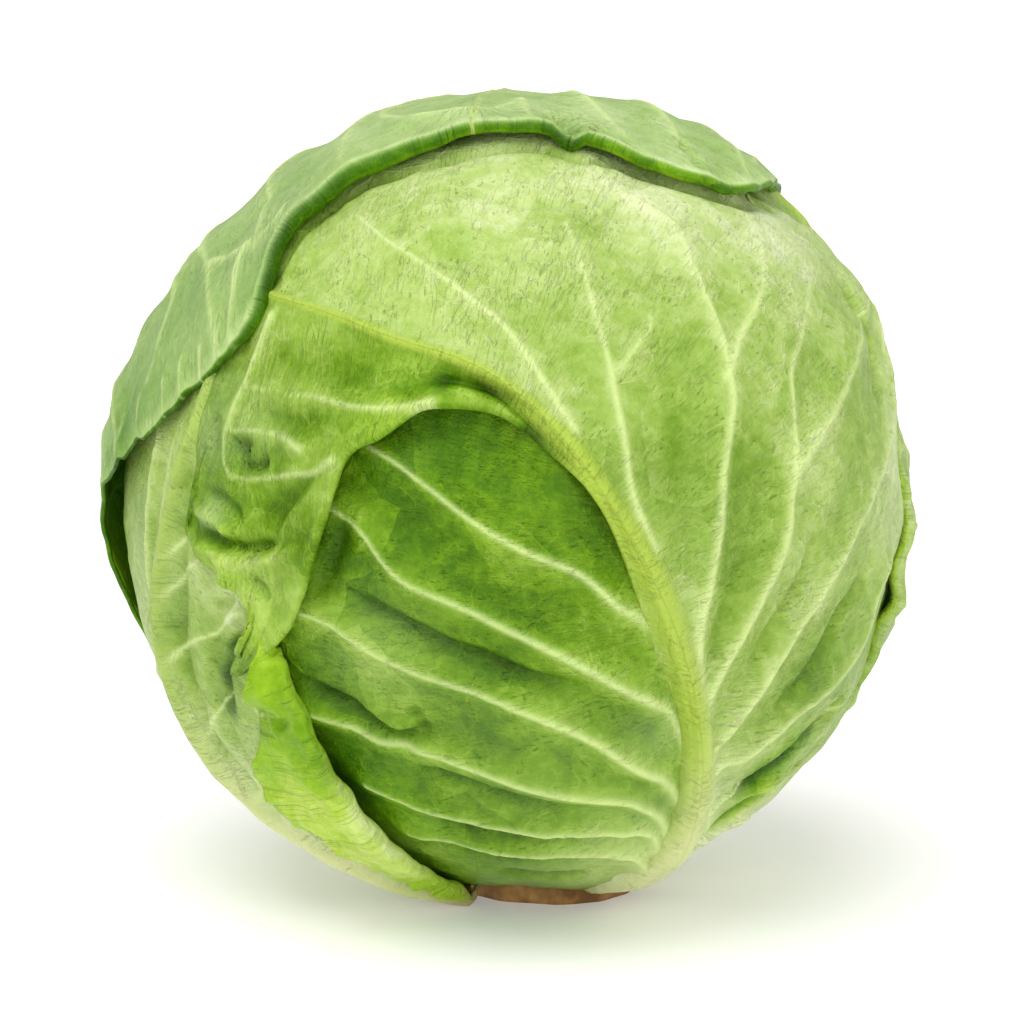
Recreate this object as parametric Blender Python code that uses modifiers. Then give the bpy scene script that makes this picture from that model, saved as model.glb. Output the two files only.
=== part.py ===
"""A green cabbage head with its outer leaves on, standing on its cut stem.

Metres, +Z up. The origin is the centre of the stem's cut face, which the head stands on, and the
viewer's side is -Y. The head is a ball that leans a little to -X over its stem. Places on it are given
as (longitude, latitude) in degrees: longitude 0 faces the viewer and 90 faces +X, and latitude -90 is
where the stem goes in.

A leaf is lofted through stations from its base at the stem to its tip. A station names three places on
the ball: on the left margin, on the midrib and on the right margin, seen from outside with the tip up.
The leaf's inner face floats over the heart by a lift, and its flesh is added outwards.
"""

import math

import bmesh
import bpy
from mathutils import Matrix, Vector

# Driving dimensions.
HEAD_HEIGHT = 0.0893  # from the floor to the middle of the head
LEAN = math.radians(5.4)  # of the head over its stem, towards -X
HEART_RADIUS = 0.083
STEM_RADIUS = 0.0175
STEM_HEIGHT = 0.027

# Leaves, from the heart outwards. Each layer's inner face clears the flesh of the one below it.
FLESH = 0.001
RIB_FLESH = 0.0048  # at the base of a midrib
INNER_LAYER = 0.0012
MIDDLE_LAYER = 0.0034
FLAP_LAYER = 0.0032  # the folded tip of the front leaf, over the left leaf
OUTER_LAYER = 0.0060
BASE_LATITUDE = -76.8  # where every leaf meets the stem

STEM_POCKET_GAP = 0.0004
RIB_SHARE = 0.07  # of a half blade's width
RIB_TAPER = 1.6
RIB_CROWDING = 1.25  # sets a grid's columns closer together beside the midrib
LEAF_ROWS_PER_STATION = 2
LIP_TURN = 0.03  # how far a turned-in margin reaches back, as a share of the half blade's width

LEAF_GREEN = (0.38, 0.58, 0.12, 1.0)
PALE_GREEN = (0.52, 0.66, 0.28, 1.0)
WAXY_GREEN = (0.30, 0.50, 0.16, 1.0)
HEART_GREEN = (0.66, 0.76, 0.42, 1.0)
STEM_TAN = (0.62, 0.48, 0.30, 1.0)

head_tilt = Matrix.Rotation(-LEAN, 3, "Y")
head_centre = head_tilt @ Vector((0, 0, HEAD_HEIGHT / math.cos(LEAN)))


def direction(longitude, latitude):
    """The unit vector from the head's middle to a place on the ball."""
    turn, rise = math.radians(longitude), math.radians(latitude)
    flat = Vector((math.sin(turn) * math.cos(rise), -math.cos(turn) * math.cos(rise), math.sin(rise)))
    return head_tilt @ flat


def through(values, place):
    """A smooth curve through evenly spaced values, read at place, which runs from 0 to the last index."""
    last = len(values) - 1
    i = min(int(place), last - 1)
    f = place - i
    a, b, c, d = (values[max(0, min(last, k))] for k in (i - 1, i, i + 1, i + 2))
    slope, bend, twist = c - a, a * 2 - b * 5 + c * 4 - d, b * 3 - a - c * 3 + d
    return b + (slope + (bend + twist * f) * f) * (f / 2)


def clear_scene():
    for obj in list(bpy.data.objects):
        bpy.data.objects.remove(obj, do_unlink=True)


def new_collection(name):
    collection = bpy.data.collections.new(name)
    bpy.context.scene.collection.children.link(collection)
    return collection


def new_material(name, colour, roughness):
    material = bpy.data.materials.new(name)
    material.use_nodes = True
    shader = material.node_tree.nodes["Principled BSDF"]
    shader.inputs["Base Color"].default_value = colour
    shader.inputs["Roughness"].default_value = roughness
    shader.inputs["Metallic"].default_value = 0.0
    return material


def new_object(name, bm, collection, material=None):
    mesh = bpy.data.meshes.new(name)
    bm.to_mesh(mesh)
    bm.free()
    mesh.shade_smooth()
    obj = bpy.data.objects.new(name, mesh)
    collection.objects.link(obj)
    if material:
        mesh.materials.append(material)
    return obj


class Blade:
    """A strip of leaf between two guide curves, such as the half blade from the midrib to one margin."""

    def __init__(self, inner, outer, lift_inner, lift_outer):
        self.inner = inner
        self.outer = outer
        self.lift_inner = lift_inner
        self.lift_outer = lift_outer

    def point(self, place, across):
        """The point at a station, and a share across from 0 at the inner curve to 1 at the outer."""
        inner = through(self.inner, place).normalized()
        outer = through(self.outer, place).normalized()
        low, high = through(self.lift_inner, place), through(self.lift_outer, place)
        blend = across * across * (3 - 2 * across)
        lift = low + (high - low) * blend
        return head_centre + inner.slerp(outer, across) * (HEART_RADIUS + lift)


def guide(places):
    """The directions of a guide curve's stations."""
    return [direction(*place) for place in places]


def add_blade(bm, blade, stations, columns, rib_flesh):
    """A grid of the strip over its first stations. rib_flesh(along) is the flesh at its inner curve."""
    weights = bm.verts.layers.deform.verify()
    rows = (stations - 1) * LEAF_ROWS_PER_STATION
    made = bmesh.ops.create_grid(bm, x_segments=columns, y_segments=rows, size=1.0)
    for vert in made["verts"]:
        across, along = (vert.co.x + 1) / 2, (vert.co.y + 1) / 2
        across = across**RIB_CROWDING
        vert.co = blade.point(along * (stations - 1), across)
        rib = math.exp(-((across / RIB_SHARE) ** 2))
        vert[weights][0] = (FLESH + (rib_flesh(along) - FLESH) * rib) / RIB_FLESH


def rib_flesh(along):
    """How thick the midrib is, thinning from the base to the tip."""
    return FLESH + (RIB_FLESH - FLESH) * (1 - along) ** RIB_TAPER


def blade_flesh(along):
    return FLESH


def finish_leaf(name, bm, collection, material):
    """Joins the halves along the midrib and gives the blade its flesh, outwards."""
    bmesh.ops.remove_doubles(bm, verts=bm.verts, dist=0.00005)
    bmesh.ops.recalc_face_normals(bm, faces=bm.faces)
    outward = sum(face.normal.dot(face.calc_center_median() - head_centre) for face in bm.faces)
    if outward < 0:
        bmesh.ops.reverse_faces(bm, faces=bm.faces)
    leaf = new_object(name, bm, collection, material)
    leaf.vertex_groups.new(name="flesh")
    flesh = leaf.modifiers.new("Flesh", "SOLIDIFY")
    flesh.thickness = RIB_FLESH
    flesh.offset = 1.0
    flesh.vertex_group = "flesh"
    return leaf


def make_leaf(name, guides, lifts, collection, material, lip_depth=None):
    """A whole leaf with a half blade on each side of its midrib. guides and lifts are for its left margin,
    its midrib and its right margin, and lip_depth turns the margins in."""
    left, rib, right = (guide(places) for places in guides)
    lift_left, lift_rib, lift_right = lifts
    bm = bmesh.new()
    for margin, lift in ((left, lift_left), (right, lift_right)):
        add_blade(bm, Blade(rib, margin, lift_rib, lift), len(rib), 7, rib_flesh)
        if lip_depth:
            turned = [edge.slerp(middle, LIP_TURN) for edge, middle in zip(margin, rib)]
            lowered = [high - deep for high, deep in zip(lift, lip_depth)]
            add_blade(bm, Blade(margin, turned, lift, lowered), len(rib), 2, blade_flesh)
    return finish_leaf(name, bm, collection, material)


def make_front_leaf(collection, material):
    """The big front leaf. Its midrib bows over to the left, and above the pleat its left blade is folded
    forward as a flap, while the blade below the pleat runs in under the flap."""
    rib = [
        (38, BASE_LATITUDE), (32, -60), (29, -44), (26, -27), (22, -10), (16, 5), (9, 19),
        (3, 25), (-4, 29), (-12, 31.5), (-20, 34), (-28, 36.5), (-37, 39), (-47, 42),
    ]
    right = [
        (64, BASE_LATITUDE), (66, -60), (74, -42), (84, -18), (90, 8), (88, 32), (78, 54),
        (50, 70), (10, 78), (-30, 78), (-52, 74), (-58, 66), (-58, 56), (-54, 48),
    ]
    flap = [
        (30, BASE_LATITUDE), (26, -60), (24, -43), (21.5, -26), (18, -9), (12, 5), (5, 19.5),
        (-6, 24), (-22, 19), (-28, 4), (-37, -8), (-48, -15), (-52, 5), (-54, 24),
    ]
    under_margin = [
        (-34, -70), (-42, -56), (-44, -40), (-44, -22), (-42, -5), (-36, 14), (-16, 31),
    ]
    flat = [INNER_LAYER] * len(rib)
    pleat = len(under_margin)
    above = len(rib) - pleat
    lifted_rib = [INNER_LAYER] * pleat + [0.0022, 0.0030, 0.0032] + [FLAP_LAYER] * (above - 3)
    lifted_flap = [INNER_LAYER] * pleat + [0.0034, 0.0052, 0.0054, 0.0058, 0.0056, 0.0038, 0.0030]
    rib, right, flap, under_margin = guide(rib), guide(right), guide(flap), guide(under_margin)
    bm = bmesh.new()
    add_blade(bm, Blade(rib, right, lifted_rib, flat), len(rib), 9, rib_flesh)
    add_blade(bm, Blade(rib, flap, lifted_rib, lifted_flap), len(rib), 5, rib_flesh)
    add_blade(bm, Blade(flap, under_margin, lifted_flap, flat[:pleat]), pleat, 7, blade_flesh)
    return finish_leaf("front_leaf", bm, collection, material)


def make_left_leaf(collection, material):
    """The pale leaf on the left, whose right margin stands up as a lip over the front leaf."""
    rib = [
        (-58, BASE_LATITUDE), (-63, -60), (-65, -43), (-63, -25),
        (-62, -8), (-58, 8), (-55, 25), (-53, 42),
    ]
    left = [
        (-76, BASE_LATITUDE), (-76, -60), (-78, -43), (-81, -25),
        (-84, -8), (-89, 9), (-92, 27), (-84, 42),
    ]
    right = [
        (-40, BASE_LATITUDE), (-38, -60), (-36, -46), (-37, -31),
        (-38, -16), (-41, -4), (-46, 10), (-47, 27),
    ]
    lip = [0.0034, 0.0046, 0.0062, 0.0066, 0.0046, 0.0026, 0.0014, 0.0012]
    low = [INNER_LAYER] * len(rib)
    tucked = [0.0026] + [MIDDLE_LAYER] * 3 + [0.0030] * 4
    return make_leaf("left_leaf", (left, rib, right), (tucked, low, lip), collection, material)


def make_left_rear_leaf(collection, material):
    rib = [(-112, BASE_LATITUDE), (-114, -52), (-115, -26), (-114, 0), (-112, 26), (-108, 48), (-100, 62)]
    left = [(-136, BASE_LATITUDE), (-150, -52), (-158, -28), (-160, 0), (-156, 28), (-146, 52), (-120, 68)]
    right = [(-88, BASE_LATITUDE), (-74, -52), (-76, -30), (-79, -5), (-83, 20), (-84, 42), (-88, 60)]
    low = [INNER_LAYER] * len(rib)
    return make_leaf("left_rear_leaf", (left, rib, right), (low, low, low), collection, material)


def make_right_leaf(collection, material):
    """The leaf on the right, whose front margin is rolled outwards beyond the front leaf."""
    rib = [(100, BASE_LATITUDE), (104, -55), (106, -30), (106, -5), (104, 20), (98, 42), (90, 58)]
    left = [(72, BASE_LATITUDE), (70, -56), (76, -36), (81, -14), (81, 8), (79, 28), (76, 48)]
    right = [(122, BASE_LATITUDE), (124, -54), (128, -28), (130, -2), (128, 24), (120, 46), (104, 62)]
    lip = [0.0034, 0.0046, 0.0060, 0.0060, 0.0044, 0.0030, 0.0026]
    low = [0.0026] + [MIDDLE_LAYER] * 3 + [0.0030, 0.0026, 0.0026]
    return make_leaf("right_leaf", (left, rib, right), (lip, low, low), collection, material)


def make_right_rear_leaf(collection, material):
    rib = [(146, BASE_LATITUDE), (147, -52), (148, -26), (148, 0), (146, 26), (140, 48), (128, 62)]
    left = [(126, BASE_LATITUDE), (112, -52), (106, -28), (104, 0), (104, 24), (104, 44), (104, 60)]
    right = [(166, BASE_LATITUDE), (182, -52), (190, -26), (192, 0), (188, 28), (176, 52), (150, 68)]
    low = [INNER_LAYER] * len(rib)
    return make_leaf("right_rear_leaf", (left, rib, right), (low, low, low), collection, material)


def make_cap_leaf(collection, material):
    """The outermost leaf: up the back, over the top and down the left shoulder, its margin turned in."""
    rib = [
        (194, BASE_LATITUDE), (194, -55), (194, -30), (193, -5), (190, 20), (187, 45), (183, 66),
        (170, 84), (10, 84), (0, 76), (-5, 68),
    ]
    left = [
        (174, BASE_LATITUDE), (168, -55), (162, -30), (157, -5), (148, 14), (130, 30), (108, 40),
        (88, 45), (68, 48), (46, 56), (26, 66),
    ]
    right = [
        (214, BASE_LATITUDE), (220, -55), (228, -30), (238, -8), (254, 2), (276, 6), (287, 14),
        (301, 23), (314, 34), (313, 50), (332, 63),
    ]
    over = [0.0032, 0.0044, 0.0046, 0.0052] + [OUTER_LAYER] * 7
    flared = over[:4] + [0.0078, 0.0098, 0.0074] + [OUTER_LAYER] * 4
    lip = [0.0003] * 4 + [0.0010] * 7
    return make_leaf("cap_leaf", (left, rib, right), (over, over, flared), collection, material, lip)


def make_stem(collection, material):
    """The cut stem: a stub with a flat cut face below, a bevelled edge, and its core inside the heart."""
    bm = bmesh.new()
    bmesh.ops.create_cone(
        bm, cap_ends=True, segments=40, radius1=STEM_RADIUS, radius2=STEM_RADIUS * 0.8, depth=STEM_HEIGHT
    )
    bmesh.ops.translate(bm, verts=bm.verts, vec=(0, 0, STEM_HEIGHT / 2))
    cut_edge = [e for e in bm.edges if all(v.co.z < STEM_HEIGHT * 0.01 for v in e.verts)]
    bmesh.ops.bevel(bm, geom=cut_edge, offset=0.0008, segments=2, affect="EDGES", profile=0.5, material=-1)
    return new_object("stem_butt", bm, collection, material)


def make_heart(collection, cutters, material):
    """The firm ball of packed inner leaves, with a pocket below where the core of the stem runs in."""
    bm = bmesh.new()
    bmesh.ops.create_uvsphere(bm, u_segments=36, v_segments=20, radius=HEART_RADIUS)
    bmesh.ops.translate(bm, verts=bm.verts, vec=head_centre)
    heart = new_object("heart", bm, collection, material)

    bm = bmesh.new()
    radius = STEM_RADIUS + STEM_POCKET_GAP
    depth = 2 * (STEM_HEIGHT + STEM_POCKET_GAP)
    bmesh.ops.create_cone(bm, cap_ends=True, segments=40, radius1=radius, radius2=radius, depth=depth)
    cutter = new_object("stem_pocket", bm, cutters)
    cutter.hide_render = True
    cutter.display_type = "WIRE"
    pocket = heart.modifiers.new("Stem pocket", "BOOLEAN")
    pocket.operation = "DIFFERENCE"
    pocket.solver = "EXACT"
    pocket.object = cutter
    return heart


def main():
    clear_scene()
    cabbage = new_collection("cabbage_head")
    cutters = new_collection("cutters")
    leaf_green = new_material("leaf_green", LEAF_GREEN, 0.5)
    pale_green = new_material("pale_green", PALE_GREEN, 0.5)
    waxy_green = new_material("waxy_green", WAXY_GREEN, 0.55)
    heart_green = new_material("heart_green", HEART_GREEN, 0.5)
    stem_tan = new_material("stem_tan", STEM_TAN, 0.8)

    make_stem(cabbage, stem_tan)
    make_heart(cabbage, cutters, heart_green)
    make_left_rear_leaf(cabbage, pale_green)
    make_right_rear_leaf(cabbage, pale_green)
    make_front_leaf(cabbage, leaf_green)
    make_left_leaf(cabbage, pale_green)
    make_right_leaf(cabbage, leaf_green)
    make_cap_leaf(cabbage, waxy_green)


main()
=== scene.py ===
"""A green cabbage head with its outer leaves on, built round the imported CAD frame.

Sizes are in millimetres and are turned to metres as each mesh is finished. The head is a ball that leans a
little over its cut stem. Places on it are (longitude, latitude) in degrees: longitude 0 faces -Y, 90 faces
+X, and latitude -90 is where the stem goes in. A leaf is laid as blades, each a grid between two guide
curves, and its veins and folds are lines drawn on the ball that raise or sink it.
"""

import itertools

import bmesh
import bpy
import numpy as np
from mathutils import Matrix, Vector


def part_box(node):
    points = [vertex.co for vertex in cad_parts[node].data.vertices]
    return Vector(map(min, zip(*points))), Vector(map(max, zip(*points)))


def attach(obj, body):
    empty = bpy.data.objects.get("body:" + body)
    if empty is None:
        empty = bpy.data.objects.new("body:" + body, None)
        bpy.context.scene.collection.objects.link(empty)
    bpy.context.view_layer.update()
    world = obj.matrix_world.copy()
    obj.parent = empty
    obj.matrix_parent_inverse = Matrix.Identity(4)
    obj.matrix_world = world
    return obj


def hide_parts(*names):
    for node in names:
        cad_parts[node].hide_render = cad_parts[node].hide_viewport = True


bl_info = {
    "name": "Cabbage head",
    "version": (1, 0, 0),
    "blender": (4, 5, 0),
    "location": "3D View > Sidebar > Cabbage",
    "description": "Builds a green cabbage head leaf by leaf, with its cut stem",
    "category": "Add Mesh",
}

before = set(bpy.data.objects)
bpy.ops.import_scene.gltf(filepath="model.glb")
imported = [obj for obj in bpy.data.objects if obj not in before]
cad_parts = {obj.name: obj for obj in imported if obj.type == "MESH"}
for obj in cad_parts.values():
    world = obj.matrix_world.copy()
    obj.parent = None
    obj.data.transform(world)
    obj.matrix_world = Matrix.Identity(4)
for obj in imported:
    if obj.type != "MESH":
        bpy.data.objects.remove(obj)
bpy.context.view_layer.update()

METRE = 0.001
LEAF_BALL = 87  # mm from the head's middle to the leaves, which turns unit vectors into distances on them
PATH_STEP = 0.8  # mm between the points of a vein's or fold's path
FAR = 9.0  # stored where no vein is near, in vein widths
heart_low, heart_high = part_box("heart")
stem_low, stem_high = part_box("stem_butt")
heart_radius = (heart_high.x - heart_low.x) / 2 / METRE
head_centre = np.array([
    (heart_low.x + heart_high.x) / 2, (heart_low.y + heart_high.y) / 2, heart_high.z - heart_radius * METRE,
]) / METRE


# ---------------------------------------------------------------- places and curves on the ball


def head_turn():
    """The rotation from the head's own axes to the row frame, leaning to -X."""
    lean = bpy.context.scene.cabbage_sizes.lean
    cos, sin = np.cos(lean), np.sin(lean)
    return np.array([[cos, 0, -sin], [0, 1, 0], [sin, 0, cos]])


def toward(places):
    """Unit vectors from the head's middle to places given as (longitude, latitude)."""
    turn, rise = np.radians(np.array(places, float)).T
    flat = np.stack([np.sin(turn) * np.cos(rise), -np.cos(turn) * np.cos(rise), np.sin(rise)], axis=-1)
    return flat @ head_turn().T


def through(values, places):
    """A smooth curve through evenly spaced values, read at places from 0 to the last index."""
    values = np.asarray(values, float)
    places = np.asarray(places, float)
    last = len(values) - 1
    i = np.clip(places.astype(int), 0, last - 1)
    f = places - i
    f = f.reshape(f.shape + (1,) * (values.ndim - 1))
    a, b, c, d = (values[np.clip(k, 0, last)] for k in (i - 1, i, i + 1, i + 2))
    slope, bend, twist = c - a, 2 * a - 5 * b + 4 * c - d, 3 * b - a - 3 * c + d
    return b + f * (slope + f * (bend + f * twist)) / 2


def straightened(vectors):
    """The same vectors, each one unit long."""
    return vectors / np.maximum(np.linalg.norm(vectors, axis=-1, keepdims=True), 1e-12)


def between(start, end, share):
    """Part of the way along the great circle from one unit vector to another."""
    angle = np.arccos(np.clip((start * end).sum(-1), -1, 1))[:, None]
    share = np.asarray(share)[:, None]
    straight = start + (end - start) * share
    curved = (np.sin((1 - share) * angle) * start + np.sin(share * angle) * end) / np.maximum(np.sin(angle), 1e-6)
    return straightened(np.where(angle < 1e-4, straight, curved))


def ease(share):
    share = np.clip(share, 0, 1)
    return share * share * (3 - 2 * share)


def lumps(points, size, seed):
    """Smooth noise from -1 to 1 whose lumps are about that size."""
    table = np.random.default_rng(seed).uniform(-1, 1, (32, 32, 32))
    grid = points / size
    cell = np.floor(grid).astype(int)
    part = ease(grid - cell)
    total = np.zeros(len(points))
    for corner in itertools.product((0, 1), repeat=3):
        at = (cell + corner) % 32
        total += table[at[:, 0], at[:, 1], at[:, 2]] * np.where(corner, part, 1 - part).prod(axis=1)
    return total


def even_rows(inner, outer, count, mirrored=False):
    """Station places for that many rows, spaced evenly along the strip between two guides."""
    fine = np.linspace(0, len(inner) - 1, 40 * len(inner))
    steps = sum(
        np.linalg.norm(np.diff(straightened(through(guide, fine)), axis=0), axis=1) for guide in (inner, outer)
    )
    if mirrored:
        steps = steps + steps[::-1]
    run = np.concatenate([[0], np.cumsum(steps)])
    return np.interp(np.linspace(0, run[-1], count + 1), run, fine)


# ---------------------------------------------------------------- veins and folds


class Line:
    """A vein or a fold along a path of unit vectors. Its profile scales width and height evenly along the way."""

    def __init__(self, path, height, left, right, swell=0.0, spread=1.0, shown=0.0, profile=(1, 1), fade=0.0,
                 main=False):
        self.height, self.left, self.right = height, left, right
        self.swell, self.spread, self.shown = swell, spread, shown
        self.profile, self.fade, self.main = profile, fade, main
        run = np.concatenate([[0], np.cumsum(np.linalg.norm(np.diff(path, axis=0), axis=1))]) * heart_radius
        count = max(4, int(run[-1] / PATH_STEP))
        even = np.interp(np.linspace(0, run[-1], count), run, np.arange(len(path)))
        self.path = straightened(through(path, even))
        self.along = straightened(np.gradient(self.path, axis=0))
        self.side = np.cross(self.along, self.path)
        self.step = run[-1] / count

    def reach(self, units):
        """The signed distance across, the distance and the share along, for each unit vector."""
        near = (units.astype(np.float32) @ self.path.T.astype(np.float32)).argmax(axis=1)
        across = (units * self.side[near]).sum(1) * LEAF_BALL
        past = np.abs((units * self.along[near]).sum(1)) * LEAF_BALL - self.step
        past = np.where((near == 0) | (near == len(self.path) - 1), np.maximum(past, 0), 0)
        # Whatever lies on the far side of the ball is out of reach.
        behind = (units * self.path[near]).sum(1) < 0.2
        distance = np.where(behind, 999, np.hypot(across, past))
        return across, distance, near / (len(self.path) - 1)


def vein(places, width=1.2, height=0.55, swell=0.6, spread=4.5, shown=1.0, end_width=0.45):
    """A raised rib that thins along its way, on a broad swelling of the blade."""
    path = toward(places) if isinstance(places, list) else places
    return Line(path, height, width, width, swell, spread, shown, (1, end_width))


def veins(*paths, **settings):
    """Veins that share their width and height."""
    return [vein(path, **settings) for path in paths]


def fold(places, height, left=2.0, right=None, fade=0.25):
    """A ridge, or a groove if height is negative, with its own width on the left and the right of its way."""
    return Line(toward(places), height, left, left if right is None else right, fade=fade)


def relief(units, lines):
    """How far the lines raise each place, how far the broad swells and folds alone do, which the blade reads for
    painted shade in grooves and painted light on ridges, and what the finish reads: the signed distance to the
    midrib, and to the nearest side vein its signed and plain distance and its strength, all as shares of the vein's
    width."""
    ribs, swells, folds, shown = (np.zeros(len(units)) for _ in range(4))
    rib, near, midrib = (np.full(len(units), FAR) for _ in range(3))
    gain = bpy.context.scene.cabbage_sizes.vein_gain
    for line in lines:
        across, distance, share = line.reach(units)
        size = through(line.profile, share * (len(line.profile) - 1))
        width = np.where(across < 0, line.left, line.right) * size
        if line.shown:
            ridge = np.exp(-((distance / width) ** (3 if line.main else 2)))
            ribs = np.maximum(ribs, gain * line.height * size * ridge)
            swell = np.exp(-((distance / line.spread) ** 2))
            swells = np.maximum(swells, gain * line.swell * (0.4 + 0.6 * size) * swell)
            if line.main:
                midrib = np.clip(np.copysign(distance, across) / width, -FAR, FAR)
                continue
            closer = distance / width < near
            near = np.where(closer, distance / width, near)
            rib = np.where(closer, across / width, rib)
            shown = np.where(closer, line.shown * (1 - 0.4 * share), shown)
        else:
            ends = ease(share / line.fade) * ease((1 - share) / line.fade) if line.fade else 1
            folds += line.height * ends * np.exp(-((distance / width) ** 2))
    found = {"midrib": midrib, "rib": rib, "near": np.minimum(near, FAR), "shown": shown}
    return ribs + swells + folds, folds + 0.6 * swells, found


def spots(units, marks):
    """The sum of soft round marks, each (longitude, latitude, radius in mm, amount)."""
    total = np.zeros(len(units))
    for longitude, latitude, radius, amount in marks:
        gap = np.linalg.norm(units - toward([(longitude, latitude)]), axis=1) * LEAF_BALL
        total += amount * np.exp(-((gap / radius) ** 2))
    return total


# ---------------------------------------------------------------- blades of leaf


class Blade:
    """A strip of leaf between two guide curves on the ball, with an optional curled or ruffled outer margin.

    Lifts are millimetres over the heart, one for each station. A curl is (way, radius, turn, tail, wrinkle):
    way is 1 for outwards and -1 for under, and radius, turn in degrees and the straight tail after it have one
    value for each station. A ruffle is (amplitude for each station, wave length, share of the strip that stays
    calm, raggedness of the edge in its own plane). Where via is given, rows bend through its places.
    """

    def __init__(self, inner, outer, lift_inner, lift_outer, curl=None, ruffle=None, via=None):
        self.inner, self.outer = toward(inner), toward(outer)
        self.via = via and np.array([
            toward([place])[0] if place else straightened(start + end)
            for place, start, end in zip(via, self.inner, self.outer)
        ])
        self.lift_inner, self.lift_outer = lift_inner, lift_outer
        self.curl, self.ruffle = curl, ruffle

    def units(self, place, across):
        """Unit vectors at stations, a share across: straight over the ball, or bent through the via guide."""
        inner, outer = straightened(through(self.inner, place)), straightened(through(self.outer, place))
        if self.via is None:
            return between(inner, outer, across)
        via, share = straightened(through(self.via, place)), np.asarray(across)[:, None]
        return straightened((1 - share) ** 2 * inner + 5.2 * share * (1 - share) * via + share**2 * outer)

    def margin(self, rows):
        """At each row's end: the way out of the strip, and how far along the margin it is."""
        edge = straightened(through(self.outer, rows))
        within = self.units(rows, np.full(len(rows), 0.96))
        way = straightened(np.gradient(edge, axis=0))
        out = np.cross(edge, way)
        out = out * np.sign(((edge - within) * out).sum(1))[:, None]
        for _ in range(3):
            beside = np.roll(out, 1, 0) + np.roll(out, -1, 0)
            there = abs(out).sum(1) > 0
            out = straightened(out + 0.5 * beside * there[:, None])
        run = np.concatenate([[0], np.cumsum(np.linalg.norm(np.diff(edge, axis=0), axis=1))]) * heart_radius
        return out, run


POINT_VALUES = ("midrib", "rib", "near", "shown", "tone", "wax", "fresh", "dry")


def point_layers(bm):
    """The layers that a leaf's finish reads. They are made before any point, because adding one drops them all."""
    floats, vectors = bm.verts.layers.float, bm.verts.layers.float_vector
    layers = {name: floats.get(name) or floats.new(name) for name in POINT_VALUES}
    return layers, vectors.get("lay") or vectors.new("lay")


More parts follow.
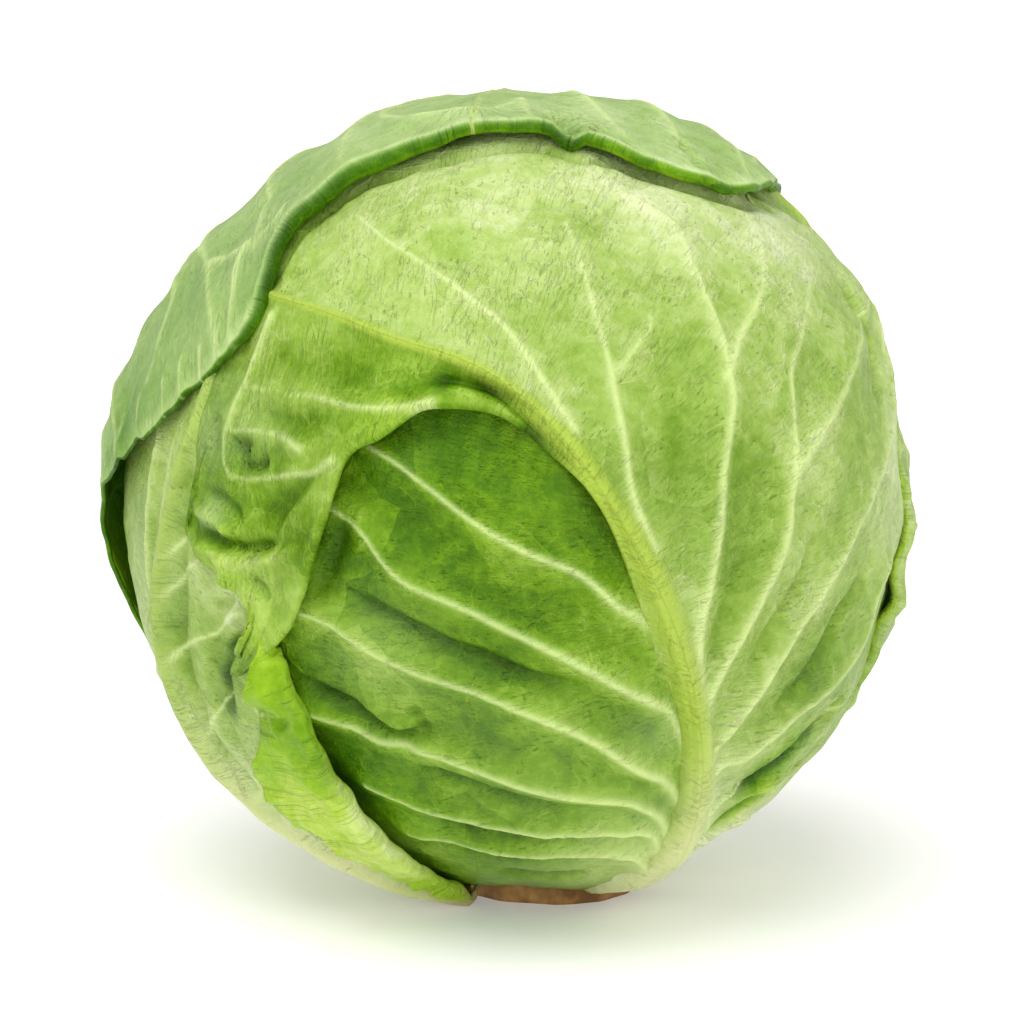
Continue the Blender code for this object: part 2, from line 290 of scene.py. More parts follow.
def lay_blade(bm, blade, rows, columns, lines, bulges=(), curl_columns=0, tone=0.5, tones=(), wax=0.0,
              waxes=(), fresh=0.0, freshes=(), dries=(), curl_shading=0.0, curl_wax=None, curl_fresh=None,
              crumple=0.25, fold_shading=0.06, crest_highlight=0.0, rib_calm=0.0, seed=1):
    """A grid of the strip, raised by its lines, with what its finish reads stored on its points. Bulges, tones,
    waxes, freshes and dries are soft round marks, as spots takes them."""
    layers, lay_layer = point_layers(bm)
    total = columns + curl_columns
    made = bmesh.ops.create_grid(bm, x_segments=total, y_segments=len(rows) - 1, size=1.0)
    verts = made["verts"]
    grid = np.array([vert.co[:2] for vert in verts]) / 2 + 0.5
    column, row = np.rint(grid[:, 0] * total), np.rint(grid[:, 1] * (len(rows) - 1)).astype(int)
    across = np.minimum(column / columns, 1)
    past = np.maximum(column - columns, 0) / max(curl_columns, 1)
    place = rows[row]
    inner, outer = straightened(through(blade.inner, place)), straightened(through(blade.outer, place))
    units = blade.units(place, across)
    lift_in, lift_out = through(blade.lift_inner, place), through(blade.lift_outer, place)
    lift = lift_in + (lift_out - lift_in) * ease(across)
    raised, depth, values = relief(units, lines)
    if rib_calm:
        raised = raised * ease(across / rib_calm)
    lift = lift + raised + spots(units, bulges)
    out, run = (found[row] for found in blade.margin(rows))
    width = np.linalg.norm(outer - inner, axis=1) * LEAF_BALL
    lay = np.stack([across * width, run, np.full(len(run), float(seed))], axis=1)
    gain = bpy.context.scene.cabbage_sizes.crumple
    ball = units * LEAF_BALL
    uneven = (1.4 * lumps(ball, 17, seed) - 0.9 * np.abs(lumps(ball, 8.5, seed + 1))
              - 0.35 * np.abs(lumps(ball, 3.6, seed + 2)))
    lift = lift + gain * crumple * ease(across * 6) * uneven
    aside = np.zeros(len(run))
    if blade.ruffle:
        amount, wave, calm, ragged = blade.ruffle
        ragged = through(ragged, place)
        grown = np.clip((across - calm) / (1 - calm), 0, 1) ** 1.6
        size = through(amount, place) * grown
        line_up = np.stack([run, across * width * 0.4, np.full(len(run), seed * 7.0)], axis=1)
        wander = lumps(line_up, wave * 2.2, seed + 3)
        waves = 0.55 * np.sin(2 * np.pi * run / wave + 3.2 * wander) + 0.7 * lumps(line_up, wave * 0.6, seed + 4)
        lift = lift + size * waves
        teeth = 0.6 * lumps(line_up, wave * 0.5, seed + 5) + 0.4 * lumps(line_up, wave * 0.2, seed + 6)
        aside = ragged * grown * teeth
    points = head_centre + units * (heart_radius + lift)[:, None] + out * aside[:, None]
    if curl_columns and blade.curl:
        way, radius, turn, tail, wrinkle = blade.curl
        radius, turn = np.maximum(through(radius, place), 0.12), np.radians(through(turn, place))
        tail = np.maximum(through(tail, place), 0.05)
        tail = tail * (1 + 0.28 * lumps(np.stack([run, 0 * run, 0 * run + seed], axis=1), 9, seed + 7))
        gone = past * (radius * turn + tail)
        angle = np.minimum(gone / radius, turn)
        left = np.maximum(gone - radius * turn, 0)
        sideways = radius * np.sin(angle) + left * np.cos(angle)
        upwards = way * (radius * (1 - np.cos(angle)) + left * np.sin(angle))
        puckers = np.stack([run, gone * 0.8, np.full(len(run), seed * 3.0)], axis=1)
        wrinkles = lumps(puckers, 7, seed + 8) - np.abs(lumps(puckers, 4, seed + 9))
        upwards = upwards + wrinkle * ease(past * 2.5) * wrinkles
        points = points + out * sideways[:, None] + outer * upwards[:, None]
        gone = gone + (1 - across) * width
    else:
        gone = (1 - across) * width
    points[:, 2] = np.maximum(points[:, 2], 0.6 + 0.5 * lumps(ball, 5, seed + 10))
    # Painted light and shade in the tone: darker in grooves and lighter on ridges and swells by how deep or high
    # they are, painted shading on a rolled margin, and a painted highlight along the crest of the roll.
    shade = tone + spots(units, tones) + fold_shading * depth + curl_shading * ease(past * 6)
    shade = shade + crest_highlight * np.exp(-((gone / 0.7) ** 2))
    bloom, young = wax + spots(units, waxes), fresh + spots(units, freshes)
    if curl_wax is not None:
        bloom = bloom + (curl_wax - bloom) * ease(past * 4)
    if curl_fresh is not None:
        young = young + (curl_fresh - young) * ease(past * 4)
    dry = np.clip(spots(units, dries), 0, 1)
    values.update({"tone": shade, "wax": np.clip(bloom, 0, 1), "fresh": np.clip(young, 0, 1), "dry": dry})
    for i, vert in enumerate(verts):
        vert.co = points[i]
        vert[lay_layer] = lay[i]
    for name, layer in layers.items():
        for vert, value in zip(verts, values[name]):
            vert[layer] = value


SEAM_GAP = 0.02  # mm, within which points are merged


def finish_piece(name, bm, material):
    """Merges the seams, turns the faces outwards and makes the object, in metres."""
    bmesh.ops.remove_doubles(bm, verts=bm.verts, dist=SEAM_GAP)
    bmesh.ops.recalc_face_normals(bm, faces=bm.faces)
    middle = Vector(head_centre)
    outward = sum(face.normal.dot(face.calc_center_median() - middle) * face.calc_area() for face in bm.faces)
    if outward < 0:
        bmesh.ops.reverse_faces(bm, faces=bm.faces)
    bmesh.ops.scale(bm, vec=Vector((METRE, METRE, METRE)), verts=bm.verts)
    mesh = bpy.data.meshes.new(name)
    bm.to_mesh(mesh)
    bm.free()
    mesh.shade_smooth()
    mesh.materials.append(material)
    piece = bpy.data.objects.new(name, mesh)
    bpy.context.scene.collection.objects.link(piece)
    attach(piece, "root")
    return piece


def finish_leaf(name, bm, material, node=None):
    """A finished sheet given its flesh, inwards, so that the drawn face is the outer one."""
    leaf = finish_piece(name, bm, material)
    flesh = leaf.modifiers.new("Flesh", "SOLIDIFY")
    flesh.thickness = bpy.context.scene.cabbage_sizes.thickness
    flesh.offset = -1.0
    if node:
        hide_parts(node)


def fan_of_veins(rib, margin, starts, sweep=1.6, **settings):
    """Side veins from stations on the rib to the margin, leaning towards the tip by sweep stations."""
    rib, margin = toward(rib), toward(margin)
    found = []
    for start in starts:
        share = np.linspace(0.0, 0.97, 14)
        place = np.minimum(start + sweep * share**0.75, len(rib) - 1)
        path = between(straightened(through(rib, place)), straightened(through(margin, place)), share)
        found.append(vein(path, **settings))
    return found


# ---------------------------------------------------------------- finishes


def linear(colour):
    """A colour written as an sRGB hex value, as the linear red, green, blue and alpha a shader takes."""
    parts = np.array([int(colour[i : i + 2], 16) / 255 for i in (1, 3, 5)])
    return (*np.where(parts <= 0.04045, parts / 12.92, ((parts + 0.055) / 1.055) ** 2.4), 1.0)


def add(tree, kind, values=(), links=(), **settings):
    """Adds a node, with settings as attributes, values on its sockets and links into them."""
    made = tree.nodes.new(kind)
    for name, value in settings.items():
        setattr(made, name, value)
    for socket, value in dict(values).items():
        made.inputs[socket].default_value = value
    for socket, source in dict(links).items():
        tree.links.new(source, made.inputs[socket])
    return made


def new_material(name):
    material = bpy.data.materials.new(name)
    material.use_nodes = True
    material.node_tree.nodes.clear()
    return material, material.node_tree


def leaf_finish(name, ramp, midrib_colour, roughness, net):
    """Living cabbage leaf: a smooth cuticle with a thin wax bloom over green flesh. Light goes a little way
    in, the veins are paler than the blade, and a net of fine veins shows between them."""
    colours = bpy.context.scene.cabbage_colours
    material, tree = new_material(name)
    place = add(tree, "ShaderNodeTexCoord").outputs["Object"]
    read = {key: add(tree, "ShaderNodeAttribute", attribute_name=key).outputs["Fac"] for key in POINT_VALUES}
    lay = add(tree, "ShaderNodeAttribute", attribute_name="lay").outputs["Vector"]

    def given(**sockets):
        """Splits sockets, named by an underscore and their number, into plain values and links."""
        values, links = {}, {}
        for socket, value in sockets.items():
            (values if isinstance(value, (int, float, tuple)) else links)[int(socket[1:])] = value
        return values, links

    def maths(operation, first, second=0.0, clamp=False):
        sockets = given(_0=first, _1=second)
        return add(tree, "ShaderNodeMath", *sockets, operation=operation, use_clamp=clamp).outputs[0]

    def ranged(source, low, high, to_low=0.0, to_high=1.0):
        return add(tree, "ShaderNodeMapRange", {1: low, 2: high, 3: to_low, 4: to_high}, {0: source},
                   interpolation_type="SMOOTHSTEP").outputs[0]

    def mixed(share, first, second):
        return add(tree, "ShaderNodeMix", *given(_0=share, _6=first, _7=second), data_type="RGBA").outputs[2]

    def noise(scale, detail=2.0, rough=0.5, vector=place, distortion=0.0):
        settings = {"Scale": scale, "Detail": detail, "Roughness": rough, "Distortion": distortion}
        return add(tree, "ShaderNodeTexNoise", settings, {"Vector": vector})

    def cells(size, vector):
        made = add(tree, "ShaderNodeTexVoronoi", {"Scale": 1 / size}, {"Vector": vector},
                   feature="DISTANCE_TO_EDGE")
        return made.outputs["Distance"]

    # Veins, from the distance stored on the points: the core is pale, with a soft halo on the blade.
    clear = ranged(read["near"], 2.2, 3.4, 1.0, 0.0)
    span = maths("MAXIMUM", maths("ABSOLUTE", read["rib"]), maths("SUBTRACT", read["near"], 0.3))
    core = maths("EXPONENT", maths("MULTIPLY", maths("MULTIPLY", span, span), -1.3))
    core = maths("MULTIPLY", maths("MULTIPLY", core, clear), read["shown"], clamp=True)
    square = maths("MULTIPLY", read["midrib"], read["midrib"])
    stalk = maths("EXPONENT", maths("MULTIPLY", maths("MULTIPLY", square, square), -0.9))
    halo = maths("MULTIPLY", ranged(read["near"], 0.6, 3.6, 1.0, 0.0), read["shown"], clamp=True)

    # The net of fine veins between them, in cells of 8 mm and 2.6 mm, bent by noise so that it isn't regular.
    bent = add(tree, "ShaderNodeVectorMath", {3: 0.005}, {0: noise(70.0, 2.0).outputs["Color"]},
               operation="SCALE").outputs[0]
    moved = add(tree, "ShaderNodeVectorMath", {}, {0: place, 1: bent}, operation="ADD").outputs[0]
    patch = noise(60.0, 3.0, 0.55).outputs["Fac"]
    broken = ranged(noise(150.0, 2.0).outputs["Fac"], 0.42, 0.60)
    wide = maths("MULTIPLY", ranged(cells(0.008, moved), 0.0, 0.05, 1.0, 0.0), broken)
    fine = maths("MULTIPLY", ranged(cells(0.0026, moved), 0.0, 0.11, 1.0, 0.0), ranged(patch, 0.42, 0.62))
    lines = maths("MULTIPLY", maths("ADD", maths("MULTIPLY", wide, 0.32), maths("MULTIPLY", fine, 0.2)), net)
    panels = add(tree, "ShaderNodeTexVoronoi", {"Scale": 1 / 0.017}, {"Vector": moved},
                 feature="F1").outputs["Color"]
    panels = maths("SUBTRACT", panels, 0.5)

    # Hair-fine creases in the cuticle, running mostly across the leaf: some 8 mm long, and short ones in patches.
    stretch = {"Scale": (0.11, 0.62, 0.5), "Rotation": (0, 0, 0.35)}
    crossing = add(tree, "ShaderNodeMapping", stretch, {"Vector": lay}).outputs[0]
    crease = noise(1.0, 3.0, 0.5, crossing, 0.5).outputs["Fac"]
    crease = maths("ABSOLUTE", maths("SUBTRACT", crease, 0.5))
    hair_light = maths("MULTIPLY", ranged(crease, 0.0, 0.020, 1.0, 0.0), ranged(patch, 0.38, 0.56))
    stretch = {"Scale": (0.5, 1.3, 1.0)}
    hair = noise(1.0, 4.0, 0.65, add(tree, "ShaderNodeMapping", stretch, {"Vector": lay}).outputs[0], 0.6)
    hair_dark = maths("MULTIPLY", ranged(hair.outputs["Fac"], 0.42, 0.30), ranged(broken, 0.0, 1.0))

    # Tone: broad mottling of 25 mm, and small of 4 mm.
    broad, small = noise(40.0, 3.0).outputs["Fac"], noise(300.0, 5.0, 0.68).outputs["Fac"]
    tone = read["tone"]
    for source, share in (
        (maths("SUBTRACT", broad, 0.5), 0.60), (maths("SUBTRACT", small, 0.5), 0.50), (panels, 0.16),
        (lines, 0.20), (hair_light, 0.11), (hair_dark, -0.12), (halo, 0.06),
    ):
        tone = maths("ADD", tone, maths("MULTIPLY", source, share))

    # The inner side of a leaf is a deeper, fresher green and has no bloom.
    middle = add(tree, "ShaderNodeVectorMath", {1: tuple(head_centre * METRE)}, {0: place},
                 operation="SUBTRACT").outputs[0]
    away = add(tree, "ShaderNodeVectorMath", {}, {0: middle}, operation="NORMALIZE").outputs[0]
    drawn = add(tree, "ShaderNodeNewGeometry").outputs["Normal"]
    facing = add(tree, "ShaderNodeVectorMath", {}, {0: away, 1: drawn}, operation="DOT_PRODUCT").outputs["Value"]
    inside = ranged(facing, 0.05, -0.35)
    tone = maths("ADD", tone, maths("MULTIPLY", inside, 0.12), clamp=True)
    young = maths("MAXIMUM", read["fresh"], inside)

    def ramped(stops):
        made = add(tree, "ShaderNodeValToRGB", {}, {"Fac": tone})
        while len(made.color_ramp.elements) < len(stops):
            made.color_ramp.elements.new(0.5)
        for element, (position, colour) in zip(made.color_ramp.elements, stops):
            element.position, element.color = position, linear(colour)
        return made.outputs["Color"]

    colour = mixed(young, ramped(ramp), ramped(FRESH_RAMP))
    veil = maths("MULTIPLY", read["wax"], ranged(patch, 0.25, 0.75, 0.55, 1.0), clamp=True)
    veil = maths("MULTIPLY", veil, maths("SUBTRACT", 1.0, inside))
    colour = mixed(maths("MULTIPLY", veil, 0.75), colour, linear(colours.wax))
    colour = mixed(maths("MULTIPLY", core, 0.80), colour, linear(colours.vein))
    tall = add(tree, "ShaderNodeSeparateXYZ", {}, {0: place}).outputs["Z"]
    blanched = mixed(ranged(tall, 0.056, 0.010), linear(midrib_colour), linear("#dde0a4"))
    colour = mixed(maths("MULTIPLY", stalk, 0.88), colour, blanched)
    browned = maths("MULTIPLY", read["dry"], ranged(small, 0.30, 0.62, 0.45, 1.0), clamp=True)
    colour = mixed(browned, colour, linear("#8a5a24"))

    # Relief finer than the mesh: the net, the creases, soft blisters of 4 mm and a grain of 1 mm.
    height = maths("MULTIPLY", lines, 0.5)
    for source, share in ((small, 1.0), (hair_light, 0.30), (hair_dark, -0.35), (broad, 0.8), (panels, 0.3)):
        height = maths("ADD", height, maths("MULTIPLY", source, share))
    bump = add(tree, "ShaderNodeBump", {"Strength": 0.75, "Distance": 0.0013}, {"Height": height})
    gloss = maths("ADD", maths("MULTIPLY", patch, 0.16), roughness - 0.06)
    gloss = maths("ADD", gloss, maths("MULTIPLY", veil, 0.12), clamp=True)
    shader = add(
        tree, "ShaderNodeBsdfPrincipled",
        {"IOR": 1.42, "Subsurface Weight": 0.12, "Subsurface Radius": (0.0016, 0.0026, 0.0006),
         "Subsurface Scale": 1.0, "Specular IOR Level": 0.42, "Specular Tint": linear("#dcf5a0"),
         "Coat Weight": 0.05, "Coat Roughness": 0.30},
        {"Base Color": colour, "Roughness": gloss, "Normal": bump.outputs[0]},
    )
    add(tree, "ShaderNodeOutputMaterial", {}, {"Surface": shader.outputs[0]})
    return material


GREEN_RAMP = [(0.0, "#244200"), (0.22, "#416a02"), (0.42, "#6a9016"), (0.60, "#91b048"), (0.78, "#b5ca7a"),
              (1.0, "#dfe8b8")]
FRESH_RAMP = [(0.0, "#224600"), (0.25, "#427200"), (0.45, "#6c9b04"), (0.65, "#93bb20"), (0.82, "#b0ce44"),
              (1.0, "#d0e47c")]
WAXY_RAMP = [(0.0, "#224c04"), (0.22, "#407412"), (0.42, "#66942c"), (0.60, "#8aae50"), (0.78, "#aac67a"),
             (1.0, "#c8dca4")]


def finish_of(kind):
    """The material of that kind, made the first time it is asked for."""
    midrib = bpy.context.scene.cabbage_colours.midrib
    name, *settings = {
        "green": ("Glossy green cabbage leaf", GREEN_RAMP, midrib, 0.42, 1.0),
        "pale": ("Pale blanched cabbage leaf", GREEN_RAMP, "#a2bb5c", 0.42, 0.7),
        "waxy": ("Wax-bloomed outer cabbage leaf", WAXY_RAMP, "#b2c878", 0.46, 0.9),
        "heart": ("Tight pale heart leaf", GREEN_RAMP, midrib, 0.42, 0.7),
    }[kind]
    return bpy.data.materials.get(name) or leaf_finish(name, *settings)


# ---------------------------------------------------------------- the front leaf

FRONT_RIB = [
    (37, -77), (33, -60), (29, -44), (25, -28), (20, -11), (13.5, 5), (6.5, 17.5), (1, 24), (-6, 28.5), (-13, 31),
    (-19, 33), (-25, 35), (-30, 36.5), (-34, 37.5), (-37, 38), (-40, 38.5), (-43, 39), (-45, 39.5), (-48, 40),
    (-52, 42),
]
FRONT_MARGIN = [
    (64, -77), (66, -60), (76, -42), (86, -18), (90, 8), (90, 32), (80, 54), (60, 68), (40, 76), (10, 80),
    (-20, 80), (-40, 78), (-54, 74), (-58, 70), (-60, 66), (-60, 62), (-60, 58), (-60, 54), (-59, 50), (-57, 47),
]
FLAP_EDGE = [
    (14, -77), (20.5, -61), (23.5, -44), (21, -27), (17, -10), (12.2, 6), (6, 15.5), (-1, 21.4), (-11, 22.7),
    (-18.4, 18.9), (-22.8, 16.2), (-26.8, 6.8), (-31.2, -2.4), (-36.6, -8.8), (-47.6, -14.8), (-40.6, -4.6),
    (-52.3, 4.4), (-50.4, 12), (-53, 20.5), (-54, 30),
]
FLAP_VIA = [None] * 12 + [(-31, 10), (-33, 2), (-34.6, -6), (-38.5, 5), (-46, 20), None, None, None]
UNDER_MARGIN = [
    (-46, -80), (-54, -62), (-54, -44), (-48, -26), (-46, -8), (-42, 12), (-24, 30), (-8, 36),
]
MIDRIB_LINE = [
    (30, -79), (31.5, -64), (31.5, -52), (27.5, -37), (25, -28), (22.5, -20), (20.5, -13), (18, -5), (15, 2),
    (11.5, 8.5), (8.5, 15), (4.5, 20), (0, 24.5), (-6, 28.5), (-16, 32), (-24, 35), (-36, 38), (-48, 40),
]
# Shares of the midrib's width and height, from the stem to the tip.
MIDRIB_TAPER = (1.35, 1.4, 1.10, 0.98, 0.95, 0.92, 0.80, 0.52, 0.36, 0.30, 0.26)


def front_lines():
    """The veins and folds of the front leaf's right blade and flap."""
    strong = dict(width=1.35, height=0.95, swell=1.5, spread=4.6, shown=1.0, end_width=0.5)
    return [
        Line(toward(MIDRIB_LINE), 2.8, 3.6, 3.6, 1.4, 8.0, 0.9, MIDRIB_TAPER, main=True),
        vein([(9, 18), (6, 24), (1, 33), (-6, 39), (-15, 45), (-23, 49), (-33, 54)], 1.2, 0.8, 1.0, shown=0.95),
        vein([(18, 1), (16, 8), (16, 15), (16, 21), (16, 29), (16, 35), (16, 41), (16, 49)], 1.2, 0.8, 1.0,
             shown=0.95),
        vein([(16, 24), (21, 28), (24, 30), (25, 32)], 0.8, 0.35, 0.2, 3, 0.8),
        vein([(25, -22), (24, -13), (26, -5), (28, 2), (30, 9), (33, 17), (34, 21), (35, 27), (36, 33), (37, 40),
              (38, 45), (35, 50), (32, 55), (32, 61)], **strong),
        vein([(34, 22), (38, 26), (44, 30), (50, 34), (56, 39), (61, 44)], 1.2, 0.5, 0.4),
        vein([(28, -33), (26, -25), (28, -19), (32, -13), (35, -8), (39, -1), (41, 5), (44, 8), (48, 11), (55, 15),
              (62, 19), (71, 23), (81, 25)], **strong),
        vein([(42, 7), (44, 13), (46, 20), (51, 24), (58, 29), (64, 32)], 1.0, 0.4, 0.3),
        vein([(32, -42), (29, -33), (32, -29), (37, -22), (42, -16), (48, -10), (55, -3), (60, 1), (66, 6),
              (75, 11)], **strong),
        vein([(37, -51), (31, -37), (38, -35), (47, -30), (57, -25), (62, -20), (63, -15), (67, -11)], **strong),
        vein([(37, -52), (36, -46), (42, -43), (55, -38), (65, -33.5)], 1.2, 0.5, 0.6),
        # Shallow grooves between the veins of the right blade.
        fold([(33, -1), (30, -6), (28, -11), (26, -17)], -0.9, 1.5),
        fold([(46, 0), (44, -5), (42, -9), (39, -13), (36, -17), (32, -24)], -1.3, 1.6),
        fold([(62, -6), (59, -11), (54, -15), (50, -20), (47, -24), (43, -28), (38, -31)], -1.6, 1.8),
        fold([(26, 30), (25, 22), (24, 12), (22, 4)], -0.9, 5.0),
        fold([(52, 8), (46, 0), (40, -8)], 0.8, 4.0),
        # Two overlapping pleats at the lower right, with a pocket under each.
        fold([(64, -31), (59, -33.6), (54.5, -35.4), (50, -38.2), (46, -40), (42, -41.7), (38, -42.4)], -5.4, 5.0,
             0.9, 0.2),
        fold([(62, -44.2), (56, -44.8), (50, -45), (44, -45), (39, -46)], 2.0, 1.8),
        fold([(64, -44), (53, -45.6), (48, -48.4), (44, -50), (41, -51.6), (39, -54)], -5.2, 4.2, 0.9, 0.2),
        fold([(62, -54), (52, -55), (46, -57.6), (41, -61)], 1.6, 1.8),
        # The sharp tuck near the right outline.
        fold([(78, 30), (75, 23), (75.5, 20.5), (74.5, 17.5), (71, 14.5), (67, 12)], -4.2, 1.1, 2.2),
        fold([(84, 26), (82, 20), (80, 15.5), (74, 12.5)], 1.6, 1.8),
        # A shallow trough under the cap leaf's rolled margin; its depth also paints a band of shade along the blade
        # under the margin.
        fold([(-46.5, 38), (-47.5, 50), (-46, 58), (-41, 62.5), (-30, 65), (-10, 68.5), (6, 69.5), (20, 68.3),
              (28, 65.5), (32, 62.5), (42, 60), (54, 51.5), (66, 47.5), (80, 46)], -2.0, 2.4, 2.4, 0.1),
        # Flat cells and creases high on the blade.
        fold([(-8, 42), (-8, 49), (-9, 55), (-7, 61), (-14, 66)], -0.6, 1.4),
        fold([(-8, 60), (1, 57), (9, 55), (18, 53), (27, 50)], -0.5, 1.4),
        fold([(-25, 44), (-25, 36)], -0.5, 2.0),
        fold([(-47, 54), (-45, 46), (-42, 39)], 0.7, 1.5),
    ]


def flap_lines():
    """The veins and crumples of the folded tip."""
    slim = dict(width=1.0, height=0.6, swell=0.9, spread=3.0, shown=0.75)
    return [
        *veins(
            [(-11, 22.8), (-15, 22.3), (-22, 22.7), (-29, 24.5), (-34, 24.8), (-39, 25.6), (-44, 26)],
            [(-42, 36), (-42.5, 31), (-43.5, 27), (-44.6, 24), (-45, 21), (-45, 18), (-44.2, 15), (-42.7, 13.4)],
            [(-31, 17.5), (-34, 19), (-38, 19.7), (-44, 19.7)],
            [(-25, 15.5), (-28.3, 14.2), (-32.3, 13.9), (-35.7, 13.5), (-39.3, 13.2), (-42.7, 13.4)],
            **slim,
        ),
        # The crevice behind the rolled edge where it leaves the midrib, and the strip below it.
        fold([(-15.5, 25.2), (-11, 26.3), (-7, 26), (-2.6, 24.6), (0, 22.8), (3, 19.6), (5.4, 16.4), (8.4, 11.6),
              (10, 8)], -2.6, 1.4, 1.2, 0.35),
        # The long valley from the sharp corner, and the calm sheet between it and the edge.
        fold([(-23.4, 16.4), (-25.6, 15.3), (-28.3, 13.7), (-31.4, 11.2), (-33.9, 9.1), (-36.1, 7), (-38.9, 4.8)],
             -2.0, 1.6, 3.0, 0.3),
        fold([(-24, 15), (-26.4, 9), (-29, 3), (-32, -3), (-35, -7)], 0.7, 1.0, 1.0),
        fold([(-27, 22), (-31, 21), (-36, 22), (-41, 23)], -1.1, 2.2),
        # Dimples beside the vein that runs round near the margin.
        fold([(-43.6, 18.2), (-41.8, 17.8), (-40, 17.2)], -2.0, 1.5),
        fold([(-42, 15), (-39, 14.9), (-36.4, 16)], -1.8, 1.4),
        fold([(-49, 22), (-47.6, 20), (-47.4, 17)], -0.8, 1.6),
        # The lip that curves round under the crumpled corner, and the dark crease above it.
        fold([(-53, 7), (-51.5, 5), (-49.5, 3.6), (-46.7, 3.2), (-44.2, 2.6), (-41.4, 2.2), (-37.7, 2.3),
              (-34.6, 3), (-31.7, 4), (-28.5, 5)], 1.7, 0.9, 1.8, 0.2),
        fold([(-50.5, 6.4), (-46.7, 5), (-43.7, 4.3), (-40.8, 3.9), (-38.1, 4.0), (-34, 4.8)], -2.7, 1.4, 1.0),
        fold([(-51, 10), (-49.3, 8.6), (-46, 7.8), (-43.5, 6.4), (-41, 6.1)], 1.6, 1.3, 1.3),
        fold([(-48, 11.6), (-44.5, 10.5), (-42, 9), (-40.5, 7)], -1.5, 1.2),
        fold([(-39.4, 0.2), (-38.4, -1), (-37.7, -2.2), (-37.6, -3.4)], -1.2, 0.9),
        fold([(-34, 0), (-35, -3), (-37, -7)], -0.7, 1.3),
        fold([(-42, -1), (-38.6, -4), (-39.5, -8)], 0.7, 1.2),
        fold([(-20, 27), (-30, 29), (-40, 31)], -0.9, 2.4),
    ]


